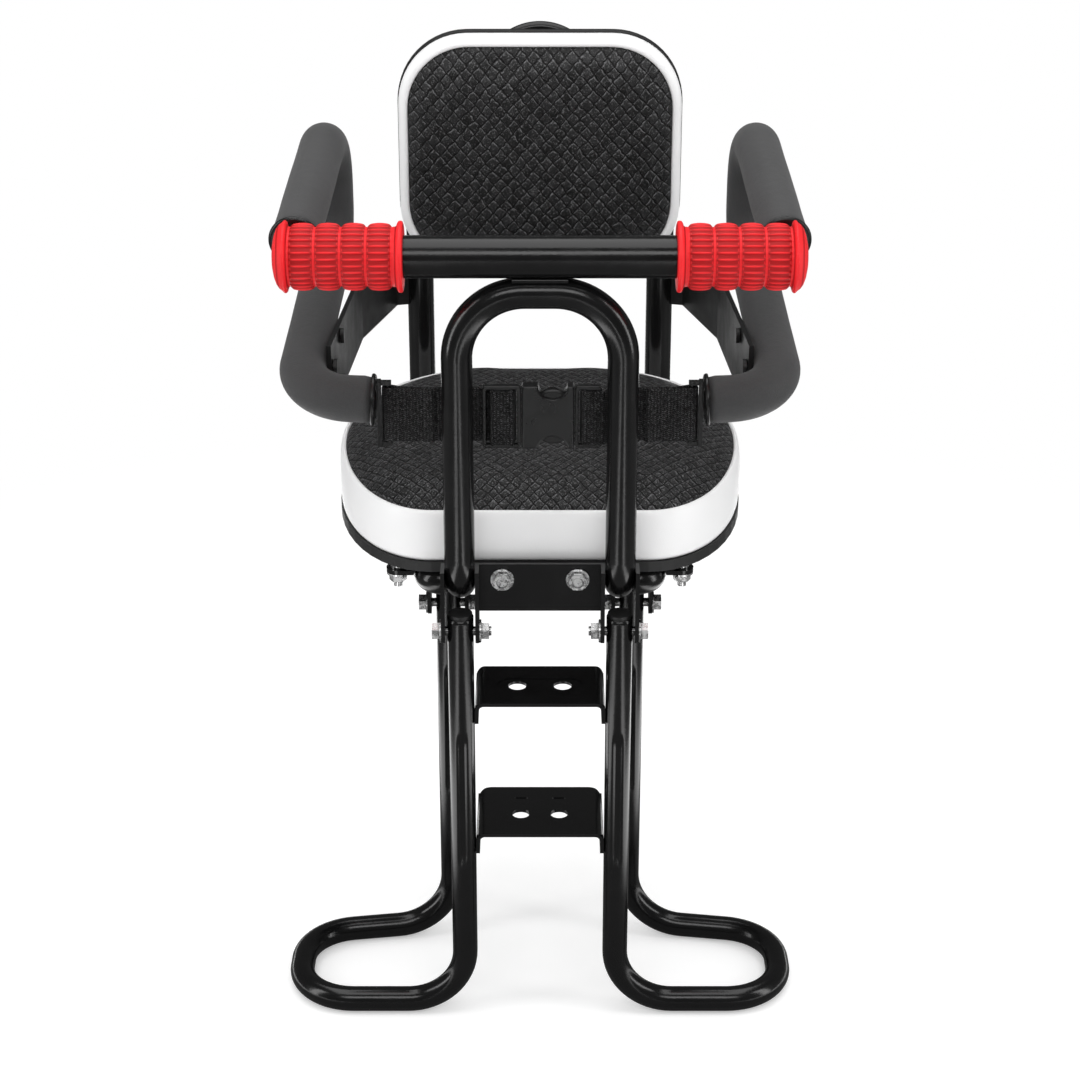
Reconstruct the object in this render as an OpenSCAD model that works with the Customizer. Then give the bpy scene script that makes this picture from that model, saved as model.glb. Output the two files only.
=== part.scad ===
// Child bike seat on a folded leg frame, with padded arms, a front bar and a lap belt.
// Millimetres. +X is to the right as seen from the front, +Y runs from the front bar
// towards the backrest, +Z is up. The floor under the foot loops is z = 0.

/* [Front arch and bar] */
// Outer diameter of the arch tube
arch_d = 19.5; // [16:0.5:22]
// Half the distance between the arch legs, centre to centre
arch_half_w = 51.3; // [48:0.1:54]
// Height of the centre line of the arch top
arch_top_z = 521; // [500:1:540]
// Bend radius at the arch top corners
arch_top_bend = 42; // [30:1:46]
// Bend radius where the arch turns back under the seat
arch_foot_bend = 25; // [22:1:32]
// Wall of every steel tube
tube_wall = 1.8; // [1.2:0.1:2.4]
// Outer diameter of the front bar
bar_d = 26; // [22:0.5:28]
// Half the length of the front bar
bar_half_l = 155; // [150:1:156]

/* [Grips] */
// Length of each hand grip
grip_l = 79; // [70:1:84]
// Outer diameter of the ribbed barrels
grip_d = 40.5; // [38:0.5:42]
// Outer diameter of the flanges at the ends of a grip
grip_flange_d = 43; // [42:0.5:46]
// Number of lengthwise ribs round a grip
grip_ribs = 24; // [16:1:28]
// Number of barrels along a grip
grip_barrels = 4; // [3:1:5]

/* [Main tube] */
// Outer diameter of the backrest posts and seat rails
post_d = 19; // [17:0.5:20]
// Half the distance between the posts
post_half_w = 86.5; // [84:0.5:90]
// Half the distance between the seat rails at their front ends
rail_half_w = 73; // [72:0.5:75]
// Height of the centre of the rails
rail_z = 318; // [312:1:324]
// Height of the centre of the bend that joins the posts
post_top_z = 600; // [585:1:606]

/* [Legs] */
// Outer diameter of the leg tubes
leg_d = 17; // [15:0.5:18]
// Height of the open top of a front leg
leg_top_z = 303; // [299:1:305]
// Height of the open top of a rear leg
rear_leg_top_z = 280; // [276:1:284]
// Half the distance between the rear legs
rear_leg_half_w = 63; // [61:0.5:65]
// Distance from a front leg to the far side of its foot loop
foot_reach = 168; // [150:1:180]
// Bend radius where a leg turns into the foot loop
ankle_bend = 40; // [30:1:42]
// Bend radius at the far side of the foot loop
foot_bend = 39; // [30:1:41]
// Height of the middle of the pressed flats on the legs
press_z = 170; // [160:1:180]
// Length of a pressed flat
press_l = 100; // [60:1:110]

/* [Clamp plates] */
// Height of the top face of the upper clamp plate
upper_plate_z = 241.5; // [230:0.5:250]
// Height of the top face of the lower clamp plate
lower_plate_z = 143; // [130:1:155]
// Sheet thickness of the clamp plates
plate_t = 2.5; // [2:0.1:3.5]
// Depth of the upper clamp plate
upper_plate_depth = 54; // [46:1:60]
// Depth of the lower clamp plate
lower_plate_depth = 63; // [54:1:70]
// Diameter of the clamp holes
clamp_hole_d = 12; // [10:0.5:14]
// Distance between the holes of the upper plate
upper_hole_gap = 30; // [26:1:34]
// Distance between the holes of the lower plate
lower_hole_gap = 26; // [22:1:30]

/* [Seat] */
// Width of the seat
seat_w = 270; // [262:1:276]
// Height of the seat side band
seat_band_h = 33.5; // [30:0.5:36]
// Thickness of the seat board
seat_board_t = 7; // [6:0.5:9]
// Rise of the rear edge of the seat above its front edge
seat_rise = 12; // [6:1:16]
// Height of the crown of the seat cushion above its seam
seat_crown = 13; // [8:1:18]

/* [Backrest] */
// Width of the backrest over its side band
back_w = 196; // [190:1:200]
// Height of the backrest over its side band
back_h = 166; // [160:1:172]
// Corner radius of the backrest
back_r = 38; // [30:1:44]
// Height of the top of the backrest
back_top_z = 625; // [612:1:632]
// Depth of the backrest side band
back_band_t = 17; // [14:0.5:20]
// Width of the side band's visible edge round the backrest face
back_band_w = 6.5; // [5:0.5:9]
// Thickness of the backrest board
back_board_t = 7; // [5:0.5:9]

/* [Armrests] */
// Outer diameter of the foam sleeves
foam_d = 30; // [28:0.5:31]
// Diameter of the steel tube inside the foam
arm_core_d = 16; // [12:0.5:18]
// Height of the side bands that hold the armrests
side_band_h = 45; // [40:1:48]
// Thickness of the side bands
side_band_t = 3; // [2:0.5:3.5]

/* [Belt] */
// Width of the belt webbing
belt_w = 36; // [34:1:37]
// Thickness of the belt webbing
belt_t = 1.8; // [1.4:0.1:2]
// Height of the centre line of the belt
belt_z = 435; // [432:1:438]
// Thickness of the buckle
buckle_t = 11.4; // [10:0.1:12]

/* [Fasteners] */
// Diameter of the leg and bracket bolts
bolt_d = 6; // [5:0.5:6.5]
// Width across the flats of the bolt heads and nuts
hex_af = 10; // [9:0.5:11]

/* [Hidden] */
$fn = 48;

// Depth positions along Y
arch_y = -131;
post_y = 143;
rear_leg_y = -32;
fit_gap = 0.3;

// Walls, bends and bolt places
leg_wall = 2.6;
leg_sides = 20;
press_d = 6.5;
press_depth = 1.4;
rail_bend = 11;
clamp_hole_in = 27;
bracket_bolt_x = 24.2;
bracket_bolt_z = 326.5;
back_bolt_x = 50;
screw_drop = 3;

leg_bolt_z = leg_top_z - 10.5;
rear_bolt_z = rear_leg_top_z - 14;
foot_z = leg_d / 2;
bar_z = arch_top_z + arch_d / 2 + bar_d / 2;
ear_t = 2.5;
ear_w = 16;
hex_t = 5;
washer_t = 1.2;
washer_d = 15;

// Direction of v
function unit(v) = v / norm(v);

// Angle between the two stretches that meet at a corner
function turn(a, b, c) = acos(unit(b - a) * unit(c - b));

// Sets its children at p with the given axes
module on_axes(p, x, y, z)
    multmatrix([[x[0], y[0], z[0], p[0]],
                [x[1], y[1], z[1], p[1]],
                [x[2], y[2], z[2], p[2]],
                [0, 0, 0, 1]])
        children();

// Round rod from a to b
module rod(a, b, r) {
    z = unit(b - a);
    x = unit(cross(abs(z[2]) > 0.9 ? [1, 0, 0] : [0, 0, 1], z));
    on_axes(a, x, cross(z, x), z)
        cylinder(h = norm(b - a), r = r);
}

// Round rod bent at p from direction u to direction v on a centre line radius
module elbow(p, u, v, bend_r, r) {
    angle = acos(u * v);
    inward = unit(v - (u * v) * u);
    start = p - u * bend_r * tan(angle / 2);
    on_axes(start + inward * bend_r, -inward, u, cross(-inward, u))
        rotate_extrude(angle = angle)
            translate([bend_r, 0])
                circle(r = r);
}

// Solid bar of radius r along a list of corners, each rounded by its own bend
module bent_bar(pts, bends, r) {
    last = len(pts) - 1;
    cut = [for (i = [0:last])
               i == 0 || i == last ? 0 : bends[i] * tan(turn(pts[i - 1], pts[i], pts[i + 1]) / 2)];
    union() {
        for (i = [0:last - 1]) {
            dir = unit(pts[i + 1] - pts[i]);
            rod(pts[i] + dir * cut[i], pts[i + 1] - dir * cut[i + 1], r);
        }
        for (i = [1:last - 1])
            elbow(pts[i], unit(pts[i] - pts[i - 1]), unit(pts[i + 1] - pts[i]), bends[i], r);
    }
}

// The same corners with both ends drawn out, so that a bore cuts through
function drawn_out(pts, by) =
    let (last = len(pts) - 1)
    [for (i = [0:last])
        i == 0 ? pts[0] - unit(pts[1] - pts[0]) * by :
        i == last ? pts[last] + unit(pts[last] - pts[last - 1]) * by : pts[i]];

// Tube along the corners: its bore runs past both ends, or stops short of them by a negative amount
module bent_tube(pts, bends, d, wall, past = 1)
    difference() {
        bent_bar(pts, bends, d / 2);
        bent_bar(drawn_out(pts, past), bends, d / 2 - wall);
    }

// Points and directions along the corners, with each bend stepped by about bend_step degrees
bend_step = 15;

function bend_stops(a, b, c, bend_r) =
    let (u = unit(b - a), v = unit(c - b), angle = acos(u * v),
         inward = unit(v - (u * v) * u), start = b - u * bend_r * tan(angle / 2),
         centre = start + inward * bend_r, steps = max(2, ceil(angle / bend_step)))
    [for (i = [0:steps])
        let (t = angle * i / steps)
        [centre + bend_r * (u * sin(t) - inward * cos(t)), u * cos(t) + inward * sin(t)]];

function route_stops(pts, bends) =
    let (last = len(pts) - 1)
    concat([[pts[0], unit(pts[1] - pts[0])]],
           [for (i = [1:last - 1])
               for (stop = bend_stops(pts[i - 1], pts[i], pts[i + 1], bends[i])) stop],
           [[pts[last], unit(pts[last] - pts[last - 1])]]);

// Sideways directions that turn with the route and never twist round it
function unwound(stops) =
    [for (i = 0, side = unit(cross(stops[0][1], [0.1, 0.2, 1]));
          i < len(stops);
          i = i + 1,
          side = i < len(stops) ? unit(side - (side * stops[i][1]) * stops[i][1]) : side)
        side];

// Open tube swept along the corners as one closed skin
module swept_tube(pts, bends, r_out, r_in, sides) {
    stops = route_stops(pts, bends);
    across = unwound(stops);
    n = len(stops);
    ring = function(i, r)
        [for (k = [0:sides - 1])
            let (a = 360 * k / sides)
            stops[i][0] + r * (across[i] * cos(a) + cross(stops[i][1], across[i]) * sin(a))];
    outer = [for (i = [0:n - 1]) each ring(i, r_out)];
    inner = [for (i = [0:n - 1]) each ring(i, r_in)];
    base = n * sides;
    polyhedron(
        points = concat(outer, inner),
        faces = concat(
            [for (i = [0:n - 2], k = [0:sides - 1])
                let (j = (k + 1) % sides)
                [i * sides + k, (i + 1) * sides + k, (i + 1) * sides + j, i * sides + j]],
            [for (i = [0:n - 2], k = [0:sides - 1])
                let (j = (k + 1) % sides)
                [base + i * sides + j, base + (i + 1) * sides + j,
                 base + (i + 1) * sides + k, base + i * sides + k]],
            [for (k = [0:sides - 1])
                let (j = (k + 1) % sides)
                [k, j, base + j, base + k]],
            [for (k = [0:sides - 1])
                let (j = (k + 1) % sides, e = (n - 1) * sides)
                [e + j, e + k, base + e + k, base + e + j]]),
        convexity = 8);
}

module both_sides() {
    children();
    mirror([1, 0, 0]) children();
}

// Hexagonal prism along +Z
module hex(af, h)
    cylinder(h = h, r = af / sqrt(3), $fn = 6);

// Sheet outline in the XY plane with rounded corners, extruded up
module rounded_sheet(w, d, r, h)
    linear_extrude(h)
        union() {
            square([w - 2 * r, d], center = true);
            square([w, d - 2 * r], center = true);
            for (x = [-1, 1], y = [-1, 1])
                translate([x * (w / 2 - r), y * (d / 2 - r)])
                    circle(r = r);
        }

// Posts: an inverted U whose feet turn in under the rear of the seat
post_foot_bend = 22;
post_top_bend = 48;
post_foot_x = 58;

module back_posts() {
    w = post_half_w;
    color([0.09, 0.09, 0.1])
        bent_tube([[-post_foot_x, post_y, rail_z], [-w, post_y, rail_z], [-w, post_y, post_top_z],
                   [w, post_y, post_top_z], [w, post_y, rail_z], [post_foot_x, post_y, rail_z]],
                  [0, post_foot_bend, post_top_bend, post_top_bend, post_foot_bend, 0],
                  post_d, tube_wall, -tube_wall);
}

// Seat rails: from the side of the arch tube round a corner and back to the feet of the posts
rail_front_y = -108;

module seat_rails()
    color([0.09, 0.09, 0.1])
        both_sides()
            bent_tube([[arch_half_w + arch_d / 2, rail_front_y, rail_z],
                       [rail_half_w, rail_front_y, rail_z],
                       [rail_half_w, post_y - post_d / 2, rail_z]],
                      [0, rail_bend, 0], post_d, tube_wall);

// Front arch: an inverted U that turns back under the seat
arch_rear_y = 110;

arch_path =
    [for (p = [[-1, arch_rear_y, rail_z], [-1, arch_y, rail_z], [-1, arch_y, arch_top_z],
               [1, arch_y, arch_top_z], [1, arch_y, rail_z], [1, arch_rear_y, rail_z]])
        [p[0] * arch_half_w, p[1], p[2]]];
arch_bends = [0, arch_foot_bend, arch_top_bend, arch_top_bend, arch_foot_bend, 0];

module front_arch()
    color([0.08, 0.08, 0.09])
        bent_tube(arch_path, arch_bends, arch_d, tube_wall, -tube_wall);

// Front bar above the arch, and the weld between them
module front_bar()
    color([0.08, 0.08, 0.09])
        translate([0, arch_y, bar_z])
            rotate([0, 90, 0])
                difference() {
                    cylinder(h = 2 * bar_half_l, d = bar_d, center = true);
                    cylinder(h = 2 * bar_half_l + 2, d = bar_d - 2 * tube_wall, center = true);
                }

weld_len = 34;
weld_r = 1.6;

// Two weld beads lie in the crevices where the bar meets the arch
module bar_weld() {
    r1 = bar_d / 2;
    r2 = arch_d / 2;
    up = ((r1 + weld_r) ^ 2 - (r2 + weld_r) ^ 2 - r1 ^ 2 + r2 ^ 2) / (-2 * (r1 + r2));
    out = sqrt((r1 + weld_r) ^ 2 - (up - r1) ^ 2);
    color([0.1, 0.1, 0.11])
        for (side = [-1, 1])
            translate([0, arch_y + side * out, arch_top_z + r2 + up])
                rotate([0, 90, 0])
                    cylinder(h = weld_len, r = weld_r, center = true);
}

// Hand grip: ribbed barrels between an inner collar and a domed outer end
grip_collar = 8;
grip_outer = 13;
grip_dome = 6;
grip_inner_x = 161.4 - grip_l;
rib_depth = 1.3;
groove_depth = 2.2;

// Star outline with one rounded land for each rib
function rib_points(r, depth) =
    [for (i = [0:grip_ribs - 1], k = [0:3])
        let (angle = (i + [0.06, 0.44, 0.56, 0.94][k]) * 360 / grip_ribs,
             rr = k < 2 ? r : r - depth)
        [rr * cos(angle), rr * sin(angle)]];

module grip_barrel(l) {
    r = grip_d / 2;
    intersection() {
        linear_extrude(l)
            polygon(rib_points(r, rib_depth));
        rotate_extrude()
            polygon([[0, 0], [r - groove_depth, 0], [r - 0.5, 2.2], [r + 0.2, l / 2],
                     [r - 0.5, l - 2.2], [r - groove_depth, l], [0, l]]);
    }
}

module grip() {
    barrel_l = (grip_l - grip_collar - grip_outer) / grip_barrels;
    r = grip_d / 2;
    fr = grip_flange_d / 2;
    difference() {
        union() {
            rotate_extrude()
                polygon([[0, 0], [fr - 1, 0], [fr, 1], [fr, 2.4], [fr - 1, 3.4], [r - 1.6, 4.6],
                         [r - 1.6, grip_collar], [0, grip_collar]]);
            for (i = [0:grip_barrels - 1])
                translate([0, 0, grip_collar + i * barrel_l])
                    grip_barrel(barrel_l);
            translate([0, 0, grip_l - grip_outer])
                rotate_extrude()
                    polygon([[0, 0], [r - 1.6, 0], [r - 1.6, 2.4], [fr - 1, 4], [fr, 5],
                             [fr, grip_outer - grip_dome], [fr - 2.5, grip_outer - 3],
                             [fr - 7, grip_outer - 1], [fr - 13, grip_outer], [0, grip_outer]]);
        }
        translate([0, 0, -1])
            cylinder(h = bar_half_l - grip_inner_x + 1 + fit_gap, d = bar_d + 2 * 0.05);
    }
}

module placed_grip()
    translate([grip_inner_x, arch_y, bar_z])
        rotate([0, 90, 0])
            grip();

module grip_right()
    color([0.93, 0.1, 0.1])
        placed_grip();

module grip_left()
    color([0.93, 0.1, 0.1])
        mirror([1, 0, 0])
            placed_grip();

// Leg: front leg, foot loop on the floor and rear leg, bent from one tube
foot_rear_y = -48;

module pressed_groove(x, y)
    translate([x, y, press_z]) {
        cylinder(h = press_l - 8, d = press_d, center = true);
        for (s = [-1, 1])
            translate([0, 0, s * (press_l - 8) / 2])
                sphere(d = press_d);
    }

module leg() {
    path = [[arch_half_w, arch_y, leg_top_z],
            [arch_half_w, arch_y, foot_z],
            [foot_reach, arch_y, foot_z],
            [foot_reach, foot_rear_y, foot_z],
            [rear_leg_half_w, rear_leg_y, foot_z],
            [rear_leg_half_w, rear_leg_y, rear_leg_top_z]];
    difference() {
        swept_tube(path, [0, ankle_bend, foot_bend, foot_bend, ankle_bend, 0],
                   leg_d / 2, leg_d / 2 - leg_wall, leg_sides);
        pressed_groove(arch_half_w, arch_y - leg_d / 2 + press_depth - press_d / 2);
        pressed_groove(rear_leg_half_w, rear_leg_y - leg_d / 2 + press_depth - press_d / 2);
        for (y_z = [[arch_half_w, arch_y, leg_bolt_z], [rear_leg_half_w, rear_leg_y, rear_bolt_z]])
            translate(y_z)
                rotate([0, 90, 0])
                    cylinder(h = leg_d + 2, d = bolt_d + fit_gap, center = true);
    }
}

module leg_right()
    color([0.09, 0.09, 0.1])
        leg();

module leg_left()
    color([0.09, 0.09, 0.1])
        mirror([1, 0, 0])
            leg();

// Plastic plugs in the open tops of the legs
plug_stem = 5;
plug_head = 2.5;

module leg_plug(p)
    translate(p) {
        translate([0, 0, -plug_stem])
            cylinder(h = plug_stem, d = (leg_d - 2 * leg_wall) * cos(180 / leg_sides) - fit_gap / 2);
        cylinder(h = plug_head, d = leg_d - 1.5);
    }

module leg_plugs()
    color([0.05, 0.05, 0.05])
        both_sides() {
            leg_plug([arch_half_w, arch_y, leg_top_z]);
            leg_plug([rear_leg_half_w, rear_leg_y, rear_leg_top_z]);
        }

// Clamp plate: a sheet with its ends turned down and welded between the legs. It has either two
// short slots behind its holes or a shallow pressed field round them
plate_flange_h = 15;
plate_slot_l = 9;
plate_slot_w = 2.4;
press_in = 0.7;
press_w = 56;
press_d2 = 20;

module clamp_plate(top_z, depth, corner, hole_gap, slot_in) {
    half_w = arch_half_w - leg_d / 2;
    front_y = arch_y - 4;
    bend = 6;
    difference() {
        translate([0, front_y + depth, top_z])
            rotate([90, 0, 0])
                linear_extrude(depth)
                    difference() {
                        union() {
                            translate([-half_w + bend, -plate_t])
                                square([2 * (half_w - bend), plate_t]);
                            for (s = [-1, 1]) {
                                translate([s * (half_w - bend), -bend])
                                    difference() {
                                        circle(r = bend);
                                        circle(r = bend - plate_t);
                                        translate([-bend - 1, -bend - 1])
                                            square([2 * bend + 2, bend + 1]);
                                        translate([s > 0 ? -bend - 1 : 0, -1])
                                            square([bend + 1, bend + 2]);
                                    }
                                translate([s > 0 ? half_w - plate_t : -half_w, -plate_flange_h])
                                    square([plate_t, plate_flange_h - bend]);
                            }
                        }
                    }
        for (s = [-1, 1])
            translate([s * hole_gap / 2, front_y + clamp_hole_in, top_z - plate_t - 1])
                cylinder(h = plate_t + 2, d = clamp_hole_d);
        plate_corners(front_y, depth, top_z, corner);
        if (slot_in > 0)
            for (s = [-1, 1])
                translate([s * hole_gap / 2, front_y + slot_in, top_z - plate_t - 1])
                    rounded_sheet(plate_slot_l, plate_slot_w, plate_slot_w / 2 - 0.05, plate_t + 2);
        else
            translate([0, front_y + clamp_hole_in, top_z - press_in])
                rounded_sheet(press_w, press_d2, press_d2 / 2 - 1, press_in + 1);
    }
}

// Cuts the rear corners of a clamp plate round
module plate_corners(front_y, depth, top_z, corner)
    both_sides()
        translate([arch_half_w - leg_d / 2 - corner, front_y + depth - corner, top_z - 2 * plate_t])
            difference() {
                cube([corner + 1, corner + 1, 3 * plate_t]);
                translate([0, 0, -1])
                    cylinder(h = 3 * plate_t + 2, r = corner);
            }

module upper_clamp_plate()
    color([0.09, 0.09, 0.1])
        clamp_plate(upper_plate_z, upper_plate_depth, 4, upper_hole_gap, 0);

module lower_clamp_plate()
    color([0.09, 0.09, 0.1])
        clamp_plate(lower_plate_z, lower_plate_depth, 10, lower_hole_gap, 47.5);

// Front bracket: a web behind the arch legs with two forward ears that hold the front legs
bracket_low = leg_top_z + 1;
bracket_high = 337;
bracket_web_y = arch_y + 6;
ear_gap = arch_half_w - arch_d / 2;

// Ear outline standing in the YZ plane, thickness along +X
module ear(y, low_z, top_z, t, hole_z) {
    r = ear_w / 2;
    rotate([90, 0, 90])
        linear_extrude(t)
            difference() {
                union() {
                    translate([y - r, low_z])
                        square([ear_w, top_z - low_z]);
                    translate([y, low_z])
                        circle(r = r);
                }
                translate([y, hole_z])
                    circle(d = bolt_d + fit_gap);
            }
}

module front_bracket()
    color([0.08, 0.08, 0.09])
        union() {
            difference() {
                translate([-ear_gap, bracket_web_y, bracket_low])
                    cube([2 * ear_gap, ear_t, bracket_high - bracket_low]);
                for (s = [-1, 1])
                    translate([s * bracket_bolt_x, bracket_web_y - 1, bracket_bolt_z])
                        rotate([-90, 0, 0])
                            cylinder(h = ear_t + 2, d = bolt_d + fit_gap);
            }
            both_sides()
                translate([ear_gap - ear_t, 0, 0])
                    ear(arch_y, leg_bolt_z, bracket_high, ear_t, leg_bolt_z);
        }

// Hexagon bolt along +Z from the seating face at z = 0, with a washer under its head
module hex_bolt(shank) {
    difference() {
        union() {
            cylinder(h = washer_t, d = washer_d);
            translate([0, 0, washer_t])
                hex(hex_af, hex_t);
        }
        translate([0, 0, washer_t + hex_t])
            cylinder(h = 2, d = hex_af * 0.75, center = true);
    }
    translate([0, 0, -shank])
        cylinder(h = shank, d = bolt_d);
}

// Nut and washer that seat at z = 0, on the end of the same bolt
module hex_nut()
    difference() {
        union() {
            cylinder(h = washer_t, d = washer_d);
            translate([0, 0, washer_t])
                hex(hex_af, hex_t);
        }
        translate([0, 0, -1])
            cylinder(h = washer_t + hex_t + 2, d = bolt_d);
    }

module bracket_bolts()
    color([0.82, 0.83, 0.85])
        for (s = [-1, 1])
            translate([s * bracket_bolt_x, bracket_web_y, bracket_bolt_z])
                rotate([90, 0, 0])
                    hex_bolt(ear_t + 4);

// Outer ears of the front legs, welded to the outside of the arch
module outer_ears()
    color([0.08, 0.08, 0.09])
        both_sides()
            translate([arch_half_w + arch_d / 2, 0, 0])
                ear(arch_y, leg_bolt_z, bracket_high, ear_t, leg_bolt_z);

// Ears of the rear legs, hung from the seat rail and from the arch tube
rear_ear_out = rail_half_w + 1.5;
rear_ear_in = arch_half_w - 2.3;
rear_ear_drop = sqrt((post_d / 2) ^ 2 - (rear_ear_out - rail_half_w) ^ 2);

module rear_ears()
    color([0.08, 0.08, 0.09])
        both_sides() {
            translate([rear_ear_out, 0, 0])
                ear(rear_leg_y, rear_bolt_z, rail_z - rear_ear_drop, ear_t, rear_bolt_z);
            translate([rear_ear_in, 0, 0])
                ear(rear_leg_y, rear_bolt_z, rail_z - arch_d / 2, ear_t, rear_bolt_z);
        }

// Bolts across the leg tops, with their nuts
module cross_bolt(y, z, x_in, x_out)
    translate([x_out, y, z])
        rotate([0, 90, 0])
            union() {
                hex_bolt(x_out - x_in + washer_t + hex_t + 1.5);
                translate([0, 0, -(x_out - x_in)])
                    mirror([0, 0, 1])
                        hex_nut();
            }

module front_leg_bolts()
    color([0.82, 0.83, 0.85])
        both_sides()
            cross_bolt(arch_y, leg_bolt_z, ear_gap - ear_t, arch_half_w + arch_d / 2 + ear_t);

module rear_leg_bolts()
    color([0.82, 0.83, 0.85])
        both_sides()
            cross_bolt(rear_leg_y, rear_bolt_z, rear_ear_in, rear_ear_out + ear_t);

// Flat bars welded across under the rails
bar_strip_w = 22;
bar_strip_t = 3;
board_z = rail_z + arch_d / 2;

module cross_bars()
    color([0.08, 0.08, 0.09])
        for (y = [20, 95])
            translate([-rail_half_w - 6, y - bar_strip_w / 2, rail_z - arch_d / 2 - bar_strip_t])
                cube([2 * rail_half_w + 12, bar_strip_w, bar_strip_t]);

// Seat outline: flat front, elliptical corners, fuller rear
seat_front_y = -115;
seat_mid_y = 5;
front_flat = 70;
rear_flat = 35;
rear_depth = 118;
seat_steps = 12;

function seat_outline(grow, steps) =
    let (a1 = seat_w / 2 - front_flat, b1 = seat_mid_y - seat_front_y,
         a2 = seat_w / 2 - rear_flat, b2 = rear_depth)
    concat(
        [for (i = [0:steps]) let (t = -90 + 90 * i / steps)
            [front_flat + (a1 + grow) * cos(t), seat_mid_y + (b1 + grow) * sin(t)]],
        [for (i = [1:steps]) let (t = 90 * i / steps)
            [rear_flat + (a2 + grow) * cos(t), seat_mid_y + (b2 + grow) * sin(t)]],
        [for (i = [0:steps]) let (t = 90 + 90 * i / steps)
            [-rear_flat + (a2 + grow) * cos(t), seat_mid_y + (b2 + grow) * sin(t)]],
        [for (i = [1:steps]) let (t = 180 + 90 * i / steps)
            [-front_flat + (a1 + grow) * cos(t), seat_mid_y + (b1 + grow) * sin(t)]]);

// Closed solid through rings of equal point counts
module ringed(rings) {
    n = len(rings[0]);
    m = len(rings);
    polyhedron(
        points = [for (ring = rings, p = ring) p],
        faces = concat(
            [[for (i = [0:n - 1]) i]],
            [for (k = [0:m - 2], i = [0:n - 1])
                [k * n + i, (k + 1) * n + i, (k + 1) * n + (i + 1) % n, k * n + (i + 1) % n]],
            [[for (i = [n - 1:-1:0]) (m - 1) * n + i]]),
        convexity = 4);
}

module seat_board()
    color([0.06, 0.06, 0.06])
        difference() {
            translate([0, 0, board_z])
                linear_extrude(seat_board_t)
                    polygon(seat_outline(1.5, seat_steps));
            bent_bar(arch_path, arch_bends, arch_d / 2 + fit_gap);
        }

seat_base_z = board_z + seat_board_t;

// Height of the seam round the seat, which climbs towards the rear
function seam_z(y) = seat_base_z + seat_band_h
    + seat_rise * max(0, (y - seat_front_y) / (seat_mid_y + rear_depth - seat_front_y));

function seat_ring(grow, lift) =
    [for (p = seat_outline(grow, seat_steps)) [p[0], p[1], seam_z(p[1]) + lift]];

function flat_ring(grow, z) =
    [for (p = seat_outline(grow, seat_steps)) [p[0], p[1], z]];

band_wall = 3;

module seat_band()
    color([0.93, 0.93, 0.93])
        difference() {
            ringed([flat_ring(0, seat_base_z), flat_ring(1.2, seat_base_z + 4),
                    seat_ring(1.2, -6), seat_ring(0, -1.5), seat_ring(-1.2, 0)]);
            ringed([flat_ring(-band_wall, seat_base_z - 1), flat_ring(-band_wall, seat_base_z + 10),
                    seat_ring(-band_wall, 5)]);
        }

module seat_cushion()
    color([0.2, 0.2, 0.21])
        ringed([flat_ring(-band_wall - fit_gap, seat_base_z),
                seat_ring(-band_wall - fit_gap, 1),
                seat_ring(-7, 4),
                seat_ring(-20, seat_crown * 0.6),
                seat_ring(-42, seat_crown * 0.88),
                seat_ring(-68, seat_crown)]);

// Lugs on the rails and the seat bolts that hang through them
lug_y = -98;
lug_x = 92.8;
lug_t = 3;
lug_z = board_z - 4.5 - lug_t;

module seat_lugs()
    color([0.08, 0.08, 0.09])
        both_sides()
            difference() {
                translate([lug_x, lug_y, lug_z])
                    linear_extrude(lug_t)
                        difference() {
                            union() {
                                circle(r = 7.5);
                                translate([-lug_x + 74, -7.5])
                                    square([lug_x - 74, 15]);
                            }
                            circle(d = bolt_d + fit_gap);
                        }
                rod([rail_half_w, rail_front_y, rail_z], [rail_half_w, 0, rail_z], post_d / 2);
            }

module seat_bolts()
    color([0.82, 0.83, 0.85])
        both_sides()
            translate([lug_x, lug_y, lug_z]) {
                mirror([0, 0, 1])
                    hex_nut();
                translate([0, 0, -washer_t - hex_t - 4])
                    cylinder(h = board_z - lug_z + washer_t + hex_t + 4, d = bolt_d);
                translate([0, 0, lug_t])
                    difference() {
                        cylinder(h = board_z - lug_z - lug_t, d = 10);
                        translate([0, 0, -1])
                            cylinder(h = board_z - lug_z, d = bolt_d);
                    }
            }

// Thin rod arc welded on top of the posts, for carrying
loop_d = 8;
loop_r = 38;
loop_rise = 24.5;

module carry_loop()
    color([0.08, 0.08, 0.09])
        difference() {
            translate([0, post_y, post_top_z + loop_rise - loop_r])
                rotate([90, 0, 0])
                    rotate_extrude()
                        translate([loop_r, 0])
                            circle(d = loop_d);
            translate([-loop_r - loop_d, post_y - loop_d, post_top_z - 2 * loop_r])
                cube([2 * (loop_r + loop_d), 2 * loop_d, 2 * loop_r]);
            rod([-post_half_w, post_y, post_top_z], [post_half_w, post_y, post_top_z], post_d / 2);
        }

// Flat bars welded across the fronts of the posts, behind the backrest
bracket_bar_t = 3;
bracket_bar_h = 22;
back_rear_y = post_y - post_d / 2 - bracket_bar_t;
back_bar_zs = [500, 570];

module back_brackets()
    color([0.08, 0.08, 0.09])
        for (z = back_bar_zs)
            difference() {
                translate([-post_half_w - 6, back_rear_y, z - bracket_bar_h / 2])
                    cube([2 * post_half_w + 12, bracket_bar_t, bracket_bar_h]);
                for (s = [-1, 1])
                    translate([s * back_bolt_x, back_rear_y - 1, z])
                        rotate([-90, 0, 0])
                            cylinder(h = bracket_bar_t + 2, d = bolt_d + fit_gap);
            }

// Backrest: board, white side band and dark cushion, drawn flat and stood up
back_mid_z = back_top_z - back_h / 2;

module stood_up(y)
    translate([0, y, back_mid_z])
        rotate([90, 0, 0])
            children();

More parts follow.
